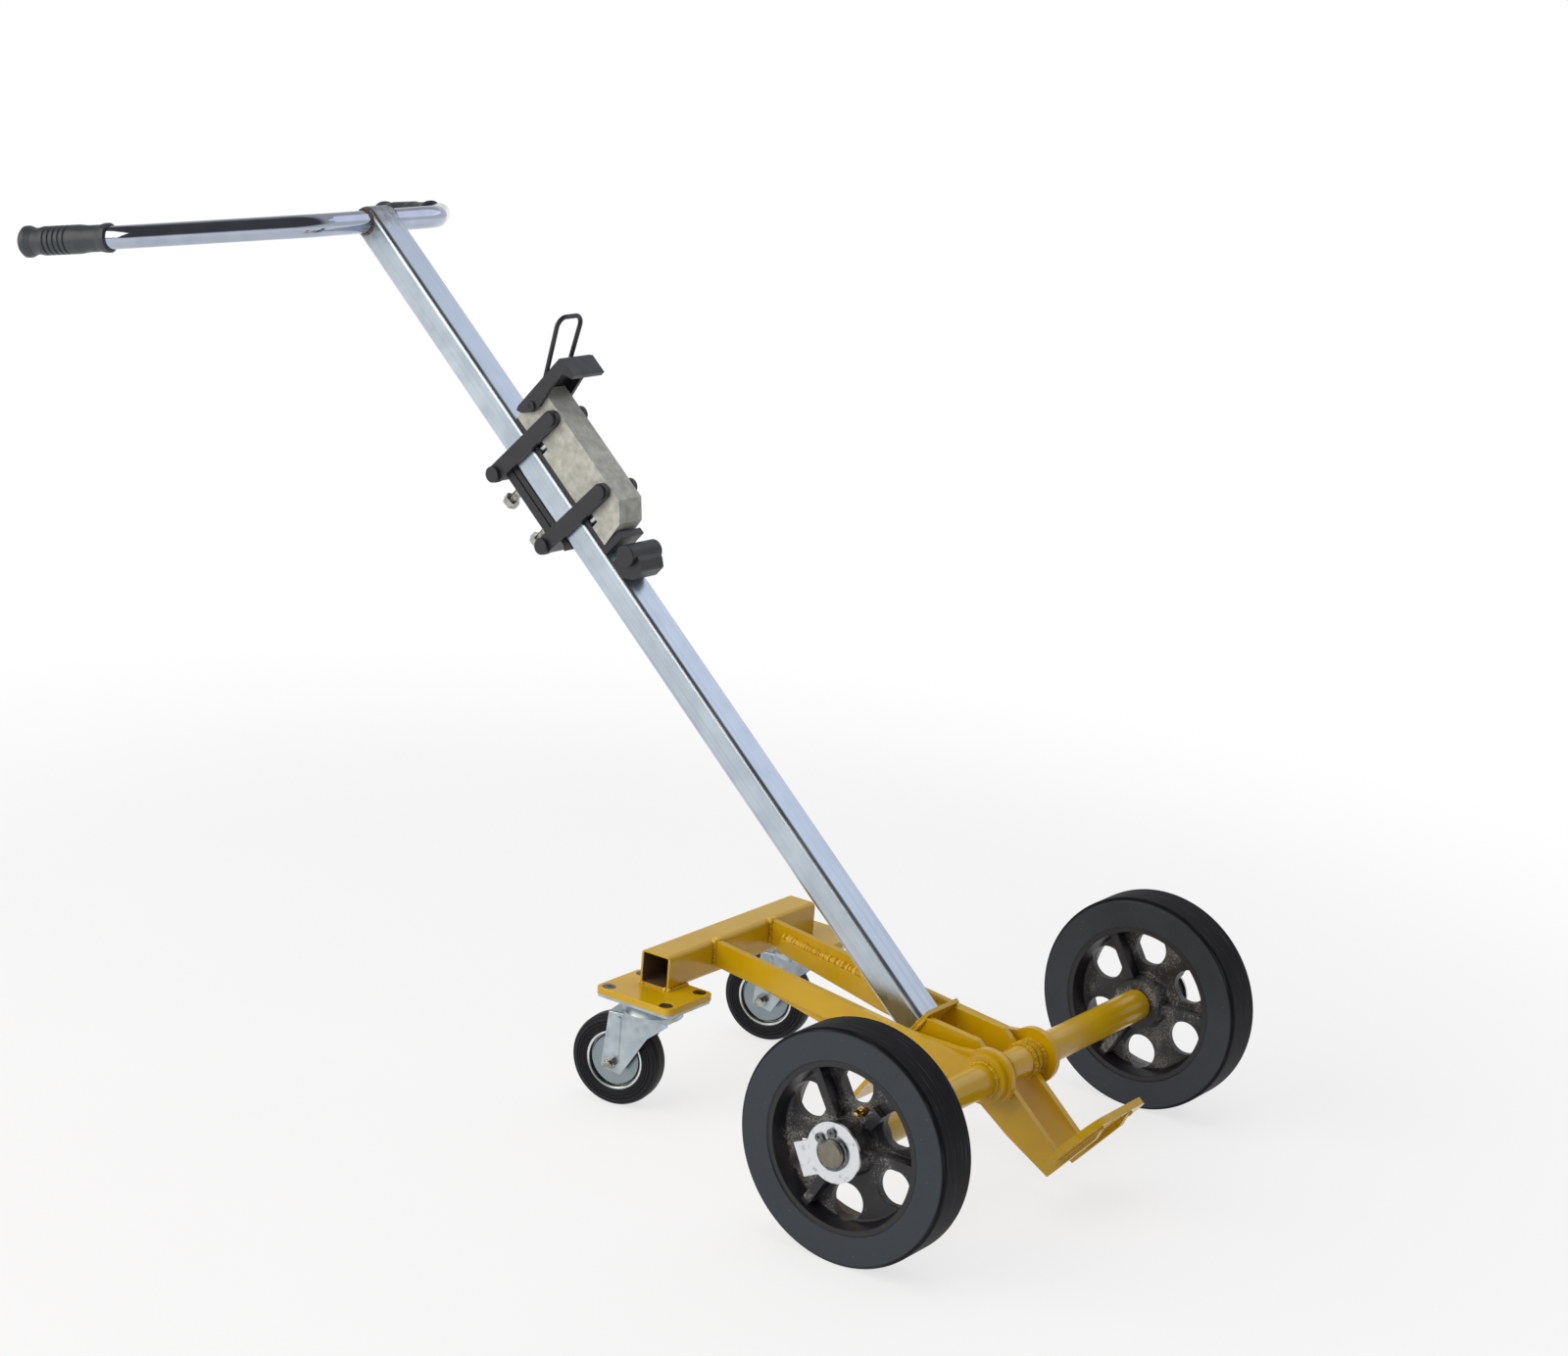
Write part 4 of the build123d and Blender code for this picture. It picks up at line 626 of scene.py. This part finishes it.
def recess_tree(name, points, material):
    """A screw's face: a flat rim round a shallow star-shaped recess whose floor is painted dark as painted
    shade.
    """
    clear_of_head = 0.00008
    tree, given = begin_tree(name, {
        "Head radius": 0.0072, "Recess radius": 0.0042, "Waist radius": 0.0013, "Depth": 0.0005})
    rim = add(tree, "GeometryNodeCurvePrimitiveCircle", {"Resolution": 24, "Radius": given["Head radius"]},
              mode="RADIUS")
    star = add(tree, "GeometryNodeCurveStar", {
        "Points": points, "Outer Radius": given["Recess radius"], "Inner Radius": given["Waist radius"]})
    outline = add(tree, "GeometryNodeJoinGeometry")
    tree.links.new(rim.outputs[0], outline.inputs[0])
    tree.links.new(star.outputs[0], outline.inputs[0])
    face = add(tree, "GeometryNodeFillCurve", {"Curve": outline.outputs[0]}, mode="TRIANGLES")
    raised = add(tree, "GeometryNodeExtrudeMesh", {
        "Mesh": face.outputs[0], "Offset": (0, 0, 1), "Offset Scale": given["Depth"], "Individual": False},
        mode="FACES")
    floor = add(tree, "GeometryNodeFillCurve", {"Curve": star.outputs[0]}, mode="TRIANGLES")
    lifted = add(tree, "GeometryNodeTransform", {
        "Geometry": floor.outputs[0], "Translation": (0, 0, clear_of_head)})
    marked = add(tree, "GeometryNodeStoreNamedAttribute", {
        "Geometry": lifted.outputs[0], "Name": "recess", "Value": True}, data_type="BOOLEAN", domain="FACE")
    head = add(tree, "GeometryNodeJoinGeometry")
    tree.links.new(raised.outputs[0], head.inputs[0])
    tree.links.new(marked.outputs[0], head.inputs[0])
    real = stand(tree, given["Geometry"], head.outputs[0])
    plain = add(tree, "GeometryNodeSetMaterial", {"Geometry": real, "Material": material})
    # The recess floor gets the painted shade.
    recess = add(tree, "GeometryNodeInputNamedAttribute", {"Name": "recess"}, data_type="BOOLEAN").outputs[0]
    dark = add(tree, "GeometryNodeSetMaterial", {
        "Geometry": plain.outputs[0], "Selection": recess, "Material": recess_dark})
    add(tree, "NodeGroupOutput", {"Geometry": dark.outputs[0]})
    return tree


# Cross recesses of the countersunk castor screws, and sockets in the ends of the hook's pivot.
upwards = Vector((0, 0, 1))
screw_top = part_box("castor_screws")[1][2]
screw_spots = [level_view(castor_pivot + ahead, 0, side * castor_out + right)
               for side in sides.values() for ahead in (-40, 40) for right in (-30, 30)]
for spot in screw_spots:
    spot.z = screw_top
grow("castor_screw_recesses", recess_tree("cross_recess", 4, oiled_steel), {}, screw_spots,
     "frame", facing=[upwards] * len(screw_spots))
grow("hook_pivot_sockets", recess_tree("six_sided_socket", 6, black_paint),
     {"Head radius": 0.0049, "Recess radius": 0.0031, "Waist radius": 0.0027, "Depth": 0.0004},
     [mast_view(-12, 928, side * 29.3) for side in sides.values()], "clamp",
     facing=[Vector((0, -side, 0)) for side in sides.values()])


def thread_tree(name, material):
    """A bolt's thread: one helix on each point, with a ridge nearly as wide as its pitch."""
    ridge_share = 0.42
    tree, given = begin_tree(name, {"Thread radius": 0.004, "Pitch": 0.00125, "Turns": 3.0})
    height = add(tree, "ShaderNodeMath", {0: given["Pitch"], 1: given["Turns"]}, operation="MULTIPLY")
    helix = add(tree, "GeometryNodeCurveSpiral", {
        "Resolution": 14, "Rotations": given["Turns"], "Start Radius": given["Thread radius"],
        "End Radius": given["Thread radius"], "Height": height.outputs[0]})
    half_ridge = add(tree, "ShaderNodeMath", {0: given["Pitch"], 1: ridge_share}, operation="MULTIPLY")
    ridge = add(tree, "GeometryNodeCurvePrimitiveCircle", {"Resolution": 4, "Radius": half_ridge.outputs[0]},
                mode="RADIUS")
    thread = add(tree, "GeometryNodeCurveToMesh", {
        "Curve": helix.outputs[0], "Profile Curve": ridge.outputs[0], "Fill Caps": True})
    real = stand(tree, given["Geometry"], thread.outputs[0])
    plated = add(tree, "GeometryNodeSetMaterial", {"Geometry": real, "Material": material})
    add(tree, "NodeGroupOutput", {"Geometry": plated.outputs[0]})
    return tree


# Threads on the jacking bolts, the block's studs and the castor axles.
bolt_thread = thread_tree("bolt_thread", bolt_zinc)
grow("grip_bolt_threads", bolt_thread, {"Turns": 13.0, "Thread radius": 0.0047, "Pitch": 0.0015},
     [mast_view(-108.9, height, 0) for height in (879.5, 821.5)],
     "rear_jaw", facing=[-mast_forward] * 2)
grow("block_stud_threads", bolt_thread, {"Turns": 6.5, "Thread radius": 0.0047},
     [mast_view(-41.5, height, right) for height in (888, 782) for right in (-13, 13)],
     "clamp", facing=[mast_forward] * 4)
beside_hub = 0.0268
for hand, hub in castor_hubs.items():
    ways = (castor_right, -castor_right)
    grow(hand + "_castor_axle_threads", bolt_thread, {"Turns": 1.2, "Thread radius": 0.0046},
         [hub + way * beside_hub for way in ways], hand + "_castor", facing=ways)


# Studio: pale floor, soft lamps and a white surround

# White studio paper: matt and faintly uneven. Near the trolley it is shown partly lit, so that the shadow
# stays, and further out plain white.
shadow_reach, white_reach, floor_reach = 0.8, 1.9, 8
backdrop = bpy.data.materials.new("white_studio_floor")
backdrop.use_nodes = True
tree = backdrop.node_tree
tree.nodes.clear()
place = add(tree, "ShaderNodeTexCoord").outputs["Object"]
rays = add(tree, "ShaderNodeLightPath").outputs
mirrored = add(tree, "ShaderNodeMath", {0: rays["Is Camera Ray"], 1: rays["Is Glossy Ray"]}, operation="ADD")
seen = add(tree, "ShaderNodeMath", {0: mirrored.outputs[0], 1: rays["Is Transmission Ray"]},
           operation="ADD", use_clamp=True)
from_middle = add(tree, "ShaderNodeVectorMath", {0: place}, operation="LENGTH").outputs["Value"]
fade = add(tree, "ShaderNodeMapRange", {0: from_middle, 1: shadow_reach, 2: white_reach, 3: 0.72, 4: 1.0},
           interpolation_type="SMOOTHSTEP")
glow = add(tree, "ShaderNodeMath", {0: seen.outputs[0], 1: fade.outputs[0]}, operation="MULTIPLY")
speck = add(tree, "ShaderNodeTexNoise", {"Vector": place, "Scale": repeats(300), "Detail": 2.0})
paper = add(tree, "ShaderNodeMix", {0: speck.outputs["Fac"], 6: linear("#EEEEEE"), 7: linear("#F4F4F4")},
            data_type="RGBA")
matt_floor = add(tree, "ShaderNodeBsdfDiffuse", {"Color": paper.outputs[2]})
white_floor = add(tree, "ShaderNodeEmission")
floor_mix = add(tree, "ShaderNodeMixShader", {
    0: glow.outputs[0], 1: matt_floor.outputs[0], 2: white_floor.outputs[0]})
add(tree, "ShaderNodeOutputMaterial", {"Surface": floor_mix.outputs[0]})
floor_mesh = bpy.data.meshes.new("studio_floor")
floor_corners = [(x * floor_reach, y * floor_reach, 0) for x, y in ((-1, -1), (1, -1), (1, 1), (-1, 1))]
floor_mesh.from_pydata(floor_corners, [], [(0, 1, 2, 3)])
floor_mesh.materials.append(backdrop)
studio_floor = bpy.data.objects.new("studio_floor", floor_mesh)
scene.collection.objects.link(studio_floor)

# The surround is white to the eye. In reflections it is a bright horizon and a lit far wall under a dark
# ceiling, and as soft light it is a little weaker from the front.
world = bpy.data.worlds.new("studio")
scene.world = world
world.use_nodes = True
tree = world.node_tree
tree.nodes.clear()
rays = add(tree, "ShaderNodeLightPath").outputs
outwards = add(tree, "ShaderNodeTexCoord").outputs["Generated"]
direction = add(tree, "ShaderNodeSeparateXYZ", {0: outwards}).outputs
height = add(tree, "ShaderNodeMath", {0: direction["Y"], 1: -0.3, 2: direction["Z"]},
             operation="MULTIPLY_ADD")
horizon = add(tree, "ShaderNodeMapRange", {0: height.outputs[0], 1: 0.06, 2: 0.34, 3: 0.75, 4: 0.08},
              interpolation_type="SMOOTHSTEP")
far_wall = add(tree, "ShaderNodeMapRange", {0: direction["Y"], 1: 0.12, 2: 0.5, 3: 0.0, 4: 0.5},
               interpolation_type="SMOOTHSTEP")
room = add(tree, "ShaderNodeMath", {0: horizon.outputs[0], 1: far_wall.outputs[0]}, operation="MAXIMUM")
soft_light = add(tree, "ShaderNodeMath", {0: direction["X"], 1: -0.16, 2: 0.42}, operation="MULTIPLY_ADD")
unseen = add(tree, "ShaderNodeMix", {0: rays["Is Glossy Ray"], 2: soft_light.outputs[0], 3: room.outputs[0]})
seen = add(tree, "ShaderNodeMath", {0: rays["Is Camera Ray"], 1: rays["Is Transmission Ray"]},
           operation="ADD", use_clamp=True)
level = add(tree, "ShaderNodeMix", {0: seen.outputs[0], 2: unseen.outputs[0], 3: 1.0})
sky = add(tree, "ShaderNodeBackground", {"Color": linear("#FFFFFF"), "Strength": level.outputs[0]})
add(tree, "ShaderNodeOutputWorld", {"Surface": sky.outputs[0]})

# Each lamp's place, width, height, watts and colour, and whether it shows in reflections.
aim = Vector((0.0, 0.0, 0.4))
lamps = (
    ("key_lamp", (-1.6, -3.4, 2.4), 4.6, 3.4, 112.0, "#FFF8EE", True),
    ("top_lamp", (0.2, -0.4, 3.6), 2.4, 2.4, 20.0, "#FFFFFF", False),
    ("far_panel", (0.7, 2.9, 2.7), 2.6, 2.0, 13.0, "#DCE1F8", True),
)
for name, spot, width, tall, power, colour, reflected in lamps:
    lamp_data = bpy.data.lights.new(name, "AREA")
    lamp_data.shape = "RECTANGLE"
    lamp_data.size = width
    lamp_data.size_y = tall
    lamp_data.energy = power
    lamp_data.color = linear(colour)[:3]
    lamp = bpy.data.objects.new(name, lamp_data)
    lamp.location = spot
    lamp.rotation_euler = (aim - Vector(spot)).to_track_quat("-Z", "Y").to_euler()
    lamp.visible_glossy = reflected
    scene.collection.objects.link(lamp)

# Camera at the photograph's viewing angle, rolled a little.
turn, tilt, roll = radians(35.0), radians(14.9), radians(4.5)
camera_spot = (2.18365, -2.8092, 1.3978)
camera_back = Vector((sin(turn) * cos(tilt), -cos(turn) * cos(tilt), sin(tilt)))
plain_right = Vector((cos(turn), sin(turn), 0))
plain_up = Vector((-sin(turn) * sin(tilt), cos(turn) * sin(tilt), cos(tilt)))
camera_right = cos(roll) * plain_right + sin(roll) * plain_up
camera_up = -sin(roll) * plain_right + cos(roll) * plain_up
camera_data = bpy.data.cameras.new("camera")
camera_data.sensor_fit = "HORIZONTAL"
camera_data.sensor_width = 36.0
camera_data.lens = 73.5255
camera = bpy.data.objects.new("camera", camera_data)
camera_turn = Matrix((camera_right, camera_up, camera_back)).transposed().to_4x4()
camera.matrix_world = Matrix.Translation(camera_spot) @ camera_turn
scene.collection.objects.link(camera)
scene.camera = camera

scene.view_settings.view_transform = "Standard"
